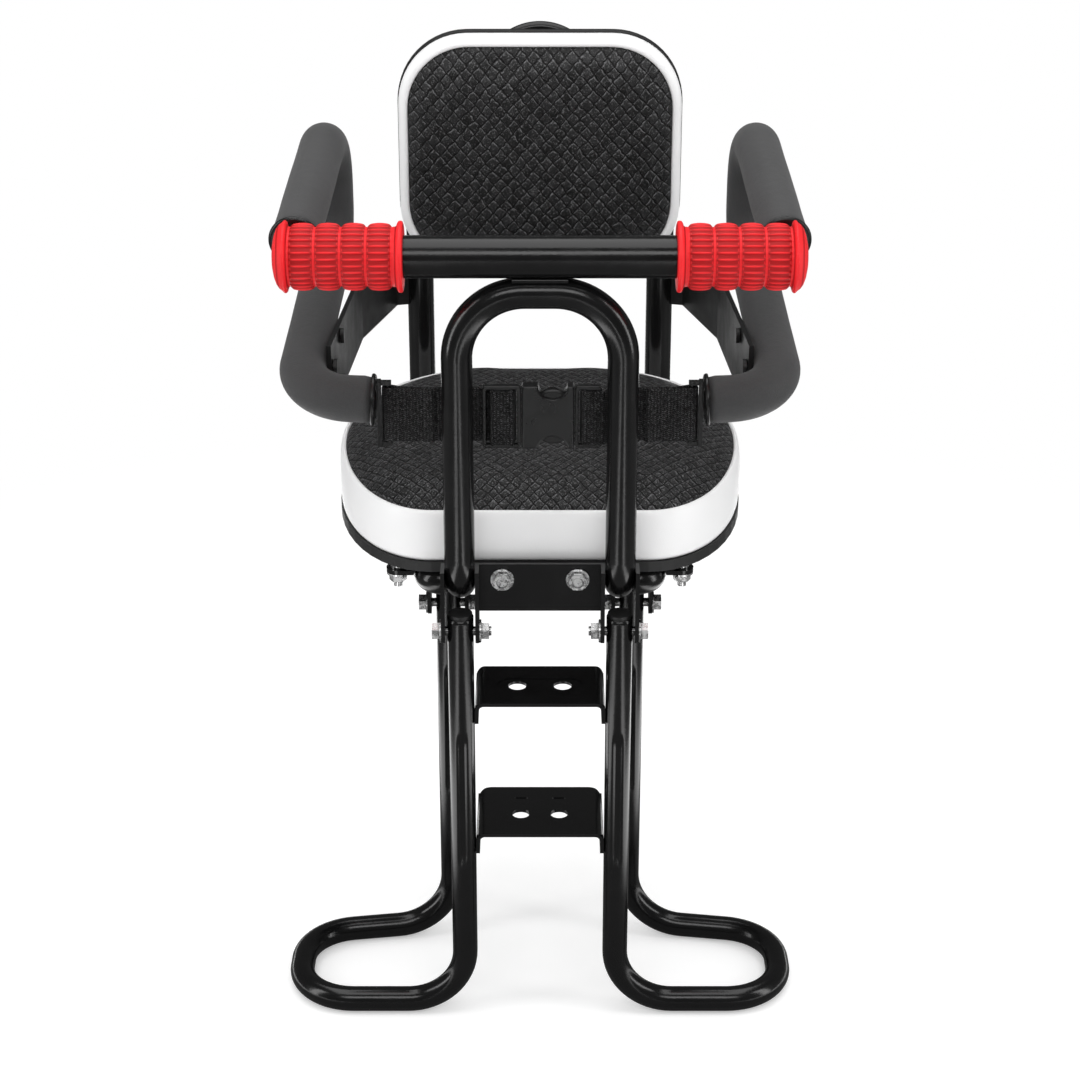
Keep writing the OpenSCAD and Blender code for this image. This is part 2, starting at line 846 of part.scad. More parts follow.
function round_ring(w, h, r, z, steps) =
    [for (q = [0:3], i = [0:steps])
        let (t = 90 * q + 90 * i / steps,
             sx = q == 0 || q == 3 ? 1 : -1,
             sy = q < 2 ? 1 : -1)
        [sx * (w / 2 - r) + r * cos(t), sy * (h / 2 - r) + r * sin(t), z]];

function back_ring(shrink, z) =
    round_ring(back_w - 2 * shrink, back_h - 2 * shrink, back_r - shrink * 0.8, z, 10);

module backrest_board()
    color([0.06, 0.06, 0.06])
        stood_up(back_rear_y)
            difference() {
                rounded_sheet(back_w + 2, back_h + 2, back_r - 8, back_board_t);
                for (z = back_bar_zs, s = [-1, 1])
                    translate([s * back_bolt_x, z - back_mid_z, -1])
                        cylinder(h = back_board_t + 2, d = bolt_d + fit_gap);
            }

module backrest_band()
    color([0.93, 0.93, 0.93])
        stood_up(back_rear_y - back_board_t)
            difference() {
                ringed([back_ring(0.6, 0), back_ring(0, 3), back_ring(0, back_band_t - 6),
                        back_ring(2, back_band_t - 2), back_ring(4, back_band_t)]);
                ringed([back_ring(back_band_w, -1), back_ring(back_band_w, back_band_t + 5)]);
            }

module backrest_cushion()
    color([0.2, 0.2, 0.21])
        stood_up(back_rear_y - back_board_t)
            ringed([back_ring(back_band_w + fit_gap, 0),
                    back_ring(back_band_w + fit_gap, back_band_t - 1),
                    back_ring(back_band_w + 3, back_band_t + 3),
                    back_ring(back_band_w + 12, back_band_t + 6.5),
                    back_ring(back_band_w + 24, back_band_t + 8.5)]);

module backrest_bolts()
    color([0.82, 0.83, 0.85])
        for (z = back_bar_zs, s = [-1, 1])
            translate([s * back_bolt_x, back_rear_y + bracket_bar_t, z])
                rotate([-90, 0, 0])
                    hex_bolt(bracket_bar_t + back_board_t);

// Armrests: a bent steel tube in a foam sleeve, held by a flat side band
arm_pts = [[150, -104, 546], [142, 66, 576], [142, 66, 494], [153, -110, 446], [106, -110, 444]];
arm_bends = [0, 36, 36, 32, 0];
cap_t = 3;
cap_d = 33;
cap_stem = 8;

foam_bore_gap = 0.3;
screw_d = 5;
screw_head_d = 10;
screw_head_t = 2.9;
screw_seat = 0.5;

// The side band ends just past the place where the lower arm turns inward
arm_turn = arm_bends[3] * tan(turn(arm_pts[2], arm_pts[3], arm_pts[4]) / 2);
band_past = 3;
side_reach_y = (arm_pts[3] - unit(arm_pts[3] - arm_pts[2]) * arm_turn)[1] - band_past;
screw_ys = [-40, side_reach_y + screw_head_d / 2 + 1.5];

// Height and depth of the lower arm's centre line at a given y
function arm_at(y) =
    let (a = arm_pts[2], b = arm_pts[3], t = (y - a[1]) / (b[1] - a[1]))
    a + (b - a) * t;

module screw_holes()
    for (y = screw_ys)
        translate([arm_at(y)[0] - foam_d, y, arm_at(y)[2] - screw_drop])
            rotate([0, 90, 0])
                cylinder(h = foam_d, d = screw_d + fit_gap);

module arm_tube()
    difference() {
        swept_tube(arm_pts, arm_bends, arm_core_d / 2, arm_core_d / 2 - tube_wall, 12);
        screw_holes();
    }

module arm_foam()
    difference() {
        swept_tube(arm_pts, arm_bends, foam_d / 2, arm_core_d / 2 + foam_bore_gap, 20);
        screw_holes();
    }

module arm_tube_right()
    color([0.3, 0.3, 0.31])
        arm_tube();

module arm_tube_left()
    color([0.3, 0.3, 0.31])
        mirror([1, 0, 0])
            arm_tube();

module arm_foam_right()
    color([0.24, 0.24, 0.25])
        arm_foam();

module arm_foam_left()
    color([0.24, 0.24, 0.25])
        mirror([1, 0, 0])
            arm_foam();

module end_cap(p, dir) {
    rod(p, p + dir * cap_t, cap_d / 2);
    rod(p - dir * cap_stem, p + dir * cap_t / 2, arm_core_d / 2 - tube_wall - fit_gap);
}

module arm_caps()
    color([0.05, 0.05, 0.05])
        both_sides() {
            end_cap(arm_pts[0], unit(arm_pts[0] - arm_pts[1]));
            end_cap(arm_pts[4], unit(arm_pts[4] - arm_pts[3]));
        }

// Side band: a flat steel strip from the post, out and forward along the inside of the foam
side_low_z = 424;

// Plan position of the band's middle plane beside the foam at a given y
function side_x(y) = arm_at(y)[0] - foam_d / 2 - fit_gap - side_band_t / 2;

side_path = [[post_half_w, post_y], [post_half_w + 18, post_y - 5], [side_x(64) - 0.5, 64],
             [side_x(side_reach_y), side_reach_y]];

module strip_2d(pts, t)
    for (i = [0:len(pts) - 2]) {
        d = unit(pts[i + 1] - pts[i]);
        nrm = [-d[1], d[0]];
        polygon([pts[i] - nrm * t / 2, pts[i + 1] - nrm * t / 2,
                 pts[i + 1] + nrm * t / 2, pts[i] + nrm * t / 2]);
        if (i > 0)
            translate(pts[i])
                circle(r = t / 2);
    }

module side_band()
    difference() {
        translate([0, 0, side_low_z])
            linear_extrude(side_band_h)
                strip_2d(side_path, side_band_t);
        translate([post_half_w, post_y, side_low_z - 1])
            cylinder(h = side_band_h + 2, d = post_d);
        for (y = screw_ys)
            translate([side_x(y) - 10, y, arm_at(y)[2] - screw_drop])
                rotate([0, 90, 0])
                    cylinder(h = 20, d = screw_d + fit_gap);
    }

module side_band_right()
    color([0.08, 0.08, 0.09])
        side_band();

module side_band_left()
    color([0.08, 0.08, 0.09])
        mirror([1, 0, 0])
            side_band();

// Round-headed screws through the side bands into the arm tubes
module side_band_screws()
    color([0.1, 0.1, 0.1])
        both_sides()
            for (y = screw_ys)
                translate([side_x(y) - side_band_t / 2, y, arm_at(y)[2] - screw_drop])
                    rotate([0, 90, 0]) {
                        cylinder(h = foam_d / 2 + side_band_t, d = screw_d);
                        translate([0, 0, -screw_head_t])
                            cylinder(h = screw_head_t - screw_seat, d = screw_head_d);
                        translate([0, 0, -screw_seat - 0.1])
                            cylinder(h = screw_seat + 0.2, d = screw_d);
                    }

// Belt anchors: a short upright pin held off each lower arm end
pin_d = 4;
anchor_t = 2.5;
cap_lean = cap_d / 2 * (arm_pts[3][2] - arm_pts[4][2]) / (arm_pts[3][0] - arm_pts[4][0]);
anchor_x = arm_pts[4][0] - cap_t - cap_lean;
pin_x = anchor_x - anchor_t - 4.5;
pin_y = arm_pts[4][1];

module belt_anchors()
    color([0.6, 0.6, 0.62])
        both_sides() {
            translate([pin_x, pin_y, belt_z - belt_w / 2 - 1])
                cylinder(h = belt_w + 2, d = pin_d);
            for (s = [-1, 1])
                translate([pin_x - pin_d / 2, pin_y - pin_d / 2,
                           belt_z + s * (belt_w / 2 + 1 + anchor_t / 2) - anchor_t / 2])
                    cube([anchor_x - pin_x + pin_d / 2, pin_d, anchor_t]);
            translate([anchor_x - anchor_t, pin_y - pin_d, belt_z - belt_w / 2 - 1 - anchor_t])
                cube([anchor_t, 2 * pin_d, belt_w + 2 + 2 * anchor_t]);
        }

// Buckle places: a body between two slotted frames that the webbing is threaded through
belt_return = 28;
frame_t = 5;
frame_rail = 2.4;
frame_y = -115.8;
bar_w = 10;
slot_w = 4.6;
body_x = [-11.5, 21.5];
frame_h = belt_w + 2 * fit_gap + 2 * frame_rail;
left_frame_x = [body_x[0] - fit_gap - 2 * frame_rail - 2 * slot_w - bar_w - 0.4, body_x[0] - fit_gap];
right_frame_x = [body_x[1] + fit_gap, body_x[1] + fit_gap + frame_rail + slot_w + bar_w];
over_y = frame_y - frame_t / 2 - fit_gap - belt_t / 2;
under_y = frame_y + frame_t / 2 + fit_gap + belt_t / 2;
sewn_y = pin_y - pin_d / 2 - belt_t / 2 - fit_gap;

// Corners moved sideways from a plan line, with mitred joints
function mitred(pts, by) =
    let (last = len(pts) - 1)
    [for (i = [0:last])
        let (d0 = unit(i > 0 ? pts[i] - pts[i - 1] : pts[1] - pts[0]),
             d1 = i < last ? unit(pts[i + 1] - pts[i]) : d0,
             n0 = [-d0[1], d0[0]], m = unit(n0 + [-d1[1], d1[0]]))
        pts[i] + m * by / (m * n0)];

// Belt half: threaded over a bar of the buckle, run round the anchor pin and sewn back on itself.
// near and far are the two sides of that bar, measured outwards from the middle
pin_turn = pin_d / 2 + fit_gap + belt_t / 2;
sewn_gap = 0.15;

module belt_half(near, far, run_out) {
    line = concat(
        [[near - 2.4, under_y - 0.4], [near - 1.4, over_y], [far + 1.2, over_y],
         [far + run_out, under_y], [pin_x - belt_return, sewn_y]],
        [for (a = [0:20:180]) [pin_x + pin_turn * sin(a), pin_y - pin_turn * cos(a)]],
        [[pin_x - belt_return / 2, sewn_y + belt_t + sewn_gap],
         [pin_x - belt_return, sewn_y + belt_t + sewn_gap]]);
    other = mitred(line, -belt_t / 2);
    translate([0, 0, belt_z - belt_w / 2])
        linear_extrude(belt_w)
            polygon(concat(mitred(line, belt_t / 2), [for (i = [len(other) - 1:-1:0]) other[i]]));
}

module belt_left()
    color([0.15, 0.15, 0.16])
        mirror([1, 0, 0])
            belt_half(-left_frame_x[1] + frame_rail + slot_w, -left_frame_x[0] - frame_rail - slot_w, 2.4);

module belt_right()
    color([0.15, 0.15, 0.16])
        belt_half(right_frame_x[1] - bar_w, right_frame_x[1], 5);

// XZ outline of the buckle stood upright, t thick about the depth y
module upright(y, t)
    translate([0, y + t / 2, belt_z])
        rotate([90, 0, 0])
            linear_extrude(t)
                children();

module round_plate(x, h, r)
    union() {
        translate([x[0] + r, -h / 2])
            square([x[1] - x[0] - 2 * r, h]);
        translate([x[0], -h / 2 + r])
            square([x[1] - x[0], h - 2 * r]);
        for (cx = [x[0] + r, x[1] - r], cy = [-h / 2 + r, h / 2 - r])
            translate([cx, cy])
                circle(r = r);
    }

// Body with a half-moon release notch in each edge and a sunk button in each notch
notch_x = 8;
notch_r = 9.4;
notch_deep = 8.4;
button_in = 2.6;
button_t = 7;
body_y = -114.2;

module buckle_body()
    color([0.1, 0.1, 0.1]) {
        upright(body_y, buckle_t)
            difference() {
                round_plate(body_x, frame_h, 1.5);
                for (s = [-1, 1])
                    translate([notch_x, s * (frame_h / 2 + notch_r - notch_deep)])
                        circle(r = notch_r);
            }
        upright(body_y, button_t)
            for (s = [-1, 1])
                intersection() {
                    translate([notch_x, s * (frame_h / 2 + notch_r - notch_deep)])
                        circle(r = notch_r + 0.5);
                    translate([notch_x, s * (frame_h / 2 - button_in - notch_deep)])
                        circle(r = notch_deep);
                }
    }

module buckle_tongue()
    color([0.1, 0.1, 0.1])
        upright(frame_y, frame_t)
            difference() {
                round_plate(right_frame_x, frame_h, 2);
                translate([right_frame_x[1] - bar_w - slot_w, -frame_h / 2 + frame_rail])
                    square([slot_w, frame_h - 2 * frame_rail]);
            }

module buckle_adjuster()
    color([0.1, 0.1, 0.1])
        upright(frame_y, frame_t)
            difference() {
                round_plate(left_frame_x, frame_h, 2);
                for (x = [left_frame_x[0] + frame_rail, left_frame_x[1] - frame_rail - slot_w])
                    translate([x, -frame_h / 2 + frame_rail])
                        square([slot_w, frame_h - 2 * frame_rail]);
            }

back_posts();
seat_rails();
front_arch();
front_bracket();
bracket_bolts();
front_bar();
bar_weld();
grip_left();
grip_right();
leg_left();
leg_right();
leg_plugs();
upper_clamp_plate();
lower_clamp_plate();
outer_ears();
rear_ears();
front_leg_bolts();
rear_leg_bolts();
cross_bars();
seat_board();
seat_band();
seat_cushion();
seat_lugs();
seat_bolts();
carry_loop();
back_brackets();
backrest_board();
backrest_band();
backrest_cushion();
backrest_bolts();
arm_tube_left();
arm_tube_right();
arm_foam_left();
arm_foam_right();
arm_caps();
side_band_left();
side_band_right();
side_band_screws();
belt_anchors();
belt_left();
belt_right();
buckle_body();
buckle_tongue();
buckle_adjuster();
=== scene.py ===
"""Child bike seat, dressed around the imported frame. Metres; +Y runs from the front bar to the backrest."""
import math

import bpy
from mathutils import Matrix, Vector, kdtree, noise


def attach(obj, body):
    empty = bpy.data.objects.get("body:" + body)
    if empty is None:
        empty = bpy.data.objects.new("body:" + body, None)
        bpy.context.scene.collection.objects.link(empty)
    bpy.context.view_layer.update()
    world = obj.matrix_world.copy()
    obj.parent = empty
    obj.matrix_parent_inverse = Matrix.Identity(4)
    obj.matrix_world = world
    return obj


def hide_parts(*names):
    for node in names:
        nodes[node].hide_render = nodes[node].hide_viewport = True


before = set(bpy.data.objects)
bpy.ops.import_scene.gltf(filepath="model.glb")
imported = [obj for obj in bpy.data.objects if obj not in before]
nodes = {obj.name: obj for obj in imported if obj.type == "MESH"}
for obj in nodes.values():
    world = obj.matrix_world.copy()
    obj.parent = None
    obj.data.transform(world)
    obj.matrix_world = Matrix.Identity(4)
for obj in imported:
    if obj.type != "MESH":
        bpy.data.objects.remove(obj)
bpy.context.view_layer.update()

scene = bpy.context.scene
MM = 0.001
TAU = 2 * math.pi


# Camera

def add_object(name, data):
    obj = bpy.data.objects.new(name, data)
    scene.collection.objects.link(obj)
    return obj


camera_data = bpy.data.cameras.new("camera")
camera_data.sensor_width = 36
camera_data.lens = 80
camera = add_object("camera", camera_data)
camera.location = (0, -1.523, 0.9765)
camera.rotation_euler = (math.radians(66), 0, 0)
scene.camera = camera


# Node helpers

class Graph:
    """One node material or world, with short calls for the nodes it needs."""

    def __init__(self, owner):
        owner.use_nodes = True
        self.tree = owner.node_tree

    def add(self, kind, values=None, **props):
        node = self.tree.nodes.new(kind)
        for key, value in props.items():
            setattr(node, key, value)
        for key, value in (values or {}).items():
            self.feed(node.inputs[key], value)
        return node

    def feed(self, socket, value):
        if isinstance(value, bpy.types.NodeSocket):
            self.tree.links.new(value, socket)
        else:
            socket.default_value = value

    def math(self, op, *args):
        node = self.add("ShaderNodeMath", operation=op)
        for socket, value in zip(node.inputs, args):
            self.feed(socket, value)
        return node.outputs[0]

    def remap(self, value, low, high, to_low=0.0, to_high=1.0, kind="LINEAR"):
        node = self.add("ShaderNodeMapRange", interpolation_type=kind)
        for socket, given in zip(node.inputs, (value, low, high, to_low, to_high)):
            self.feed(socket, given)
        return node.outputs[0]

    def mix(self, factor, a, b):
        node = self.add("ShaderNodeMix", data_type="RGBA")
        self.feed(node.inputs["Factor"], factor)
        self.feed(node.inputs[6], a)
        self.feed(node.inputs[7], b)
        return node.outputs[2]

    def noise(self, coords, scale, detail=2.0, rough=0.5):
        node = self.add("ShaderNodeTexNoise",
                        {"Vector": coords, "Scale": scale, "Detail": detail, "Roughness": rough})
        return node.outputs["Fac"]

    def cells(self, coords, scale, feature="F1"):
        node = self.add("ShaderNodeTexVoronoi", {"Vector": coords, "Scale": scale}, feature=feature)
        return node.outputs["Distance"]

    def bump(self, height, distance, strength=1.0, normal=None):
        values = {"Height": height, "Distance": distance, "Strength": strength}
        if normal is not None:
            values["Normal"] = normal
        return self.add("ShaderNodeBump", values).outputs[0]


def material(name, **fixed):
    """A new material, its graph, its shader and its object coordinates."""
    mat = bpy.data.materials.new(name)
    graph = Graph(mat)
    shader = graph.tree.nodes["Principled BSDF"]
    for key, value in fixed.items():
        shader.inputs[key.replace("_", " ")].default_value = value
    coords = graph.add("ShaderNodeTexCoord").outputs["Object"]
    return mat, graph, shader, coords


def grey(level, tint=1.0):
    return (level, level, level * tint, 1)


# Sizes shared with the frame, in mm

ARCH_Y = -131
ARCH_HALF_W = 51.3
REAR_LEG = (63, -32)
LEG_R = 8.5
LEG_TOP = 303
REAR_LEG_TOP = 280
FOOT_REACH = 168
FOOT_REAR_Y = -48
ANKLE_BEND = 40
FOOT_BEND = 39
POST_Y = 143
POST_R = 9.5
BRACKET_T = 3
BOARD_T = 7
BAR_AXIS = Vector((0, ARCH_Y, 543.75))


# Materials

def gloss_paint():
    mat, g, shader, at = material("gloss_paint", Specular_IOR_Level=0.5)
    patchy = g.noise(at, 45, 3)
    g.feed(shader.inputs["Base Color"], g.mix(patchy, grey(0.003), grey(0.006, 1.05)))
    g.feed(shader.inputs["Roughness"], g.remap(patchy, 0.3, 0.7, 0.15, 0.23))
    peel = g.noise(at, 700, 1)
    g.feed(shader.inputs["Normal"], g.bump(peel, 0.00012, 0.35))
    return mat


def zinc():
    mat, g, shader, at = material("bright_zinc", Metallic=1.0)
    cloud = g.remap(g.noise(at, 240, 3, 0.6), 0.40, 0.60)
    # Painted shade: ambient occlusion turns the zinc dark grey in hollows and where parts meet.
    hollow_shade = g.add("ShaderNodeAmbientOcclusion", {"Distance": 0.004}, samples=8).outputs["AO"]
    bright = g.mix(cloud, grey(0.78), grey(1.0))
    g.feed(shader.inputs["Base Color"], g.mix(g.remap(hollow_shade, 0.45, 0.85), grey(0.10), bright))
    g.feed(shader.inputs["Roughness"], g.remap(cloud, 0.3, 0.7, 0.20, 0.36))
    g.feed(shader.inputs["Normal"], g.bump(g.noise(at, 500, 2), 0.00007, 0.4))
    return mat


def plain_steel():
    mat, g, shader, at = material("plain_steel", Metallic=1.0)
    streak = g.noise(g.add("ShaderNodeMapping", {"Vector": at, "Scale": (1, 1, 14)}).outputs[0], 260, 3)
    g.feed(shader.inputs["Base Color"], g.mix(streak, grey(0.26), grey(0.42)))
    g.feed(shader.inputs["Roughness"], g.remap(streak, 0.3, 0.7, 0.30, 0.48))
    return mat


VALLEY_SHADE_FADE = (19.0 * MM, 20.1 * MM)  # radius from the bar's axis over which a valley's painted shade gives way to the ridge's own red
COLLAR_FADE = (18.3 * MM, 18.2 * MM)  # inside this radius the rubber is a plain collar


def red_rubber():
    mat, g, shader, at = material("red_rubber", Specular_IOR_Level=0.35)
    cloud = g.noise(at, 60, 3)
    split = g.add("ShaderNodeSeparateXYZ", {"Vector": at}).outputs
    off_y = g.math("SUBTRACT", split["Y"], BAR_AXIS.y * MM)
    off_z = g.math("SUBTRACT", split["Z"], BAR_AXIS.z * MM)
    out = g.math("SQRT", g.math("ADD", g.math("MULTIPLY", off_y, off_y), g.math("MULTIPLY", off_z, off_z)))
    bright = g.mix(cloud, (0.78, 0.008, 0.014, 1), (0.92, 0.018, 0.024, 1))
    # Painted shade: the rubber is coloured darker the deeper a point lies between ribs, and ridges keep the
    # full red.
    ridge = g.mix(g.remap(out, *VALLEY_SHADE_FADE, kind="SMOOTHSTEP"), (0.42, 0.0, 0.002, 1), bright)
    collar = g.remap(out, *COLLAR_FADE)
    g.feed(shader.inputs["Base Color"], g.mix(collar, ridge, bright))
    g.feed(shader.inputs["Roughness"], g.remap(g.noise(at, 900, 2), 0.3, 0.7, 0.42, 0.54))
    g.feed(shader.inputs["Normal"], g.bump(g.noise(at, 1400, 2), 0.00010, 0.5))
    return mat


def foam_skin():
    mat, g, shader, at = material("foam_skin", Sheen_Weight=0.12, Sheen_Roughness=0.6)
    pores = g.cells(at, 1300)
    cloud = g.noise(at, 22, 3)
    tone = g.mix(cloud, grey(0.026, 1.03), grey(0.040, 1.04))
    g.feed(shader.inputs["Base Color"], g.mix(g.remap(pores, 0.1, 0.5), grey(0.020), tone))
    g.feed(shader.inputs["Roughness"], g.remap(cloud, 0.3, 0.7, 0.60, 0.72))
    first = g.bump(pores, 0.00018, 0.6)
    g.feed(shader.inputs["Normal"], g.bump(g.noise(at, 190, 2), 0.00035, 0.5, first))
    return mat


def white_vinyl():
    mat, g, shader, at = material("white_vinyl", Coat_Weight=0.15, Coat_Roughness=0.3)
    cloud = g.noise(at, 18, 3)
    g.feed(shader.inputs["Base Color"], g.mix(cloud, (0.88, 0.88, 0.885, 1), (0.93, 0.93, 0.93, 1)))
    g.feed(shader.inputs["Roughness"], g.remap(cloud, 0.3, 0.7, 0.36, 0.46))
    grain = g.cells(at, 950, "DISTANCE_TO_EDGE")
    first = g.bump(g.remap(grain, 0.0, 0.12), 0.00010, 0.45)
    g.feed(shader.inputs["Normal"], g.bump(g.noise(at, 40, 2), 0.0012, 0.35, first))
    return mat


def moulded_black(name, level, low, high):
    mat, g, shader, at = material(name)
    cloud = g.noise(at, 70, 3)
    g.feed(shader.inputs["Base Color"], g.mix(cloud, grey(level), grey(level * 1.5, 1.03)))
    g.feed(shader.inputs["Roughness"], g.remap(cloud, 0.3, 0.7, low, high))
    grain = g.noise(at, 2200, 2)
    g.feed(shader.inputs["Normal"], g.bump(grain, 0.00008, 0.7))
    return mat


BACK_WEAVE = (9.1 * MM, 10.2 * MM)  # width and height of one woven diamond
SEAT_WEAVE = (7.6 * MM, 8.6 * MM)


# edge is the grey of the painted highlight on each cell's upper edges.
def woven_cells(name, second_axis, size, edge, flecks):
    """Dark fabric embossed with a diagonal basket weave in the plane of X and the second axis."""
    mat, g, shader, at = material(name, Specular_IOR_Level=0.3, Sheen_Weight=0.04, Sheen_Roughness=0.5)
    split = g.add("ShaderNodeSeparateXYZ", {"Vector": at}).outputs
    u, v = split["X"], split[second_axis]
    sway = g.math("MULTIPLY", g.math("SUBTRACT", g.noise(at, 55, 2), 0.5), size[0] * 0.55)
    drift = g.math("MULTIPLY", g.math("SUBTRACT", g.noise(at, 260, 2), 0.5), size[1] * 0.42)
    u = g.math("ADD", u, sway)
    v = g.math("ADD", v, drift)
    u = g.math("DIVIDE", u, size[0])
    v = g.math("DIVIDE", v, size[1])
    p = g.math("ADD", u, v)
    q = g.math("SUBTRACT", u, v)
    to_p = g.math("PINGPONG", p, 0.5)
    to_q = g.math("PINGPONG", q, 0.5)
    gap = g.math("SMOOTH_MIN", to_p, to_q, 0.10)
    land = g.remap(gap, 0.02, 0.11, kind="SMOOTHSTEP")
    odd = g.math("PINGPONG", g.math("ADD", g.math("FLOOR", p), g.math("FLOOR", q)), 1.0)
    along = g.add("ShaderNodeMix", {"Factor": odd, "A": to_p, "B": to_q}, data_type="FLOAT").outputs[0]
    crown = g.math("MULTIPLY", g.remap(along, 0.0, 0.5, kind="SMOOTHSTEP"), 0.30)
    thread = g.noise(at, 1900, 3, 0.7)
    height = g.math("ADD", g.math("MULTIPLY", land, g.math("ADD", crown, 0.75)),
                    g.math("MULTIPLY", thread, 0.22))
    each = g.add("ShaderNodeCombineXYZ", {"X": g.math("FLOOR", p), "Y": g.math("FLOOR", q)}).outputs[0]
    lot = g.add("ShaderNodeTexWhiteNoise", {"Vector": each}, noise_dimensions="2D").outputs["Value"]
    tone = g.mix(lot, grey(0.004), grey(0.017, 1.04))
    fleck = g.remap(g.noise(at, 900, 3, 0.8), 0.56, 0.68)
    tone = g.mix(fleck, tone, grey(flecks, 1.02))
    # Painted highlight: the two upper edges of each diamond are lighter, as if lit from above, broken up by
    # noise.
    over_p = g.remap(g.math("FRACT", p), 0.78, 0.92, kind="SMOOTHSTEP")
    over_q = g.remap(g.math("FRACT", q), 0.22, 0.08, kind="SMOOTHSTEP")
    broken = g.remap(g.noise(at, 420, 2), 0.42, 0.60, 0.05, 1.0)
    painted_highlight = g.math("MULTIPLY", g.math("MAXIMUM", over_p, over_q), broken)
    tone = g.mix(painted_highlight, tone, grey(edge, 1.03))
    # Painted shade: the grooves between the cells are coloured near black.
    g.feed(shader.inputs["Base Color"], g.mix(land, grey(0.001), tone))
    g.feed(shader.inputs["Roughness"], g.remap(thread, 0.3, 0.7, 0.38, 0.55))
    g.feed(shader.inputs["Normal"], g.bump(height, 0.0016, 1.0))
    return mat


def webbing():
    """Black belt webbing: slanted yarns in narrow upright columns."""
    mat, g, shader, at = material("webbing", Specular_IOR_Level=0.2, Sheen_Weight=0.02, Sheen_Roughness=0.5)
    split = g.add("ShaderNodeSeparateXYZ", {"Vector": at}).outputs
    column = g.math("DIVIDE", split["X"], 2.1 * MM)
    side = g.math("PINGPONG", column, 1.0)
    slant = g.math("SUBTRACT", g.math("DIVIDE", split["Z"], 1.35 * MM), g.math("MULTIPLY", side, 0.9))
    yarn = g.math("PINGPONG", slant, 0.5)
    rib = g.math("PINGPONG", column, 0.5)
    height = g.math("MULTIPLY", g.remap(yarn, 0.02, 0.36, kind="SMOOTHSTEP"),
                    g.remap(rib, 0.0, 0.22, 0.25, 1.0, "SMOOTHSTEP"))
    fuzz = g.noise(at, 1300, 2, 0.7)
    tone = g.mix(g.remap(fuzz, 0.46, 0.64), grey(0.003), grey(0.125, 1.03))
    # Painted shade: the low parts between the yarns are coloured near black.
    g.feed(shader.inputs["Base Color"], g.mix(height, grey(0.001), tone))
    g.feed(shader.inputs["Roughness"], g.remap(fuzz, 0.3, 0.7, 0.42, 0.6))
    g.feed(shader.inputs["Normal"], g.bump(height, 0.0010, 1.0))
    return mat


PAINT = gloss_paint()
ZINC = zinc()
STEEL = plain_steel()
RED = red_rubber()
FOAM = foam_skin()
VINYL = white_vinyl()
BOARD = moulded_black("board_black", 0.010, 0.42, 0.55)
BAND = moulded_black("band_black", 0.007, 0.40, 0.52)
CAP = moulded_black("cap_black", 0.005, 0.24, 0.34)
BUCKLE = moulded_black("buckle_black", 0.007, 0.24, 0.34)
SEAT_FABRIC = woven_cells("seat_fabric", "Y", SEAT_WEAVE, 0.20, 0.30)
BACK_FABRIC = woven_cells("back_fabric", "Z", BACK_WEAVE, 0.17, 0.16)
WEBBING = webbing()


# Mesh helpers

def piece(name, verts, faces, mat, slot, replaced=()):
    mesh = bpy.data.meshes.new(name)
    mesh.from_pydata([tuple(v) for v in verts], [], faces)
    mesh.materials.append(mat)
    mesh.polygons.foreach_set("use_smooth", [True] * len(mesh.polygons))
    mesh.update()
    obj = add_object(name, mesh)
    settle(obj, replaced)
    return obj


def settle(obj, replaced=()):
    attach(obj, "root")
    if replaced:
        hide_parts(*replaced)


def sharpen(obj, degrees=32):
    """Smooth shading that keeps edges sharper than this."""
    bpy.context.view_layer.objects.active = obj
    for other in bpy.context.selected_objects:
        other.select_set(False)
    obj.select_set(True)
    bpy.ops.object.shade_smooth_by_angle(angle=math.radians(degrees))


def mirrored(verts, faces):
    return [Vector((-v[0], v[1], v[2])) for v in verts], [tuple(reversed(f)) for f in faces]


def joined(*parts):
    """Several (verts, faces) pairs as one."""
    verts, faces = [], []
    for part_verts, part_faces in parts:
        base = len(verts)
        verts += list(part_verts)
        faces += [tuple(base + i for i in f) for f in part_faces]
    return verts, faces


def skin(rings, close_start=True, close_end=True):
    """Quads between rings of equal point counts, wound outwards, with flat ends where closed."""
    n = len(rings[0])
    verts = [p for ring in rings for p in ring]
    count = len(rings)
    faces = []
    for k in range(count - 1):
        a, b = k * n, (k + 1) * n
        for i in range(n):
            j = (i + 1) % n
            faces.append((a + i, a + j, b + j, b + i))
    if close_start:
        faces.append(tuple(reversed(range(n))))
    if close_end:
        faces.append(tuple((count - 1) * n + i for i in range(n)))
    return verts, faces


def route(points, bends, spacing, step=6):
    """Stops of (place, direction) along corners, each rounded by its own bend. Sizes in mm."""
    pts = [Vector(p) for p in points]
    stops = []
    turns = []
    for i in range(1, len(pts) - 1):
        u = (pts[i] - pts[i - 1]).normalized()
        v = (pts[i + 1] - pts[i]).normalized()
        angle = u.angle(v)
        inward = (v - u * u.dot(v)).normalized()
        start = pts[i] - u * bends[i] * math.tan(angle / 2)
        centre = start + inward * bends[i]
        count = max(2, math.ceil(math.degrees(angle) / step))
        turn = []
        for k in range(count + 1):
            t = angle * k / count
            turn.append((centre + bends[i] * (u * math.sin(t) - inward * math.cos(t)),
                         (u * math.cos(t) + inward * math.sin(t)).normalized()))
        turns.append(turn)
    cursor = pts[0]
    for turn in turns + [[(pts[-1], (pts[-1] - pts[-2]).normalized())]]:
        goal = turn[0][0]
        along = goal - cursor
        count = max(1, round(along.length / spacing))
        first = 0 if not stops else 1
        for k in range(first, count):
            stops.append((cursor + along * k / count, along.normalized()))
        stops += turn
        cursor = turn[-1][0]
    return stops


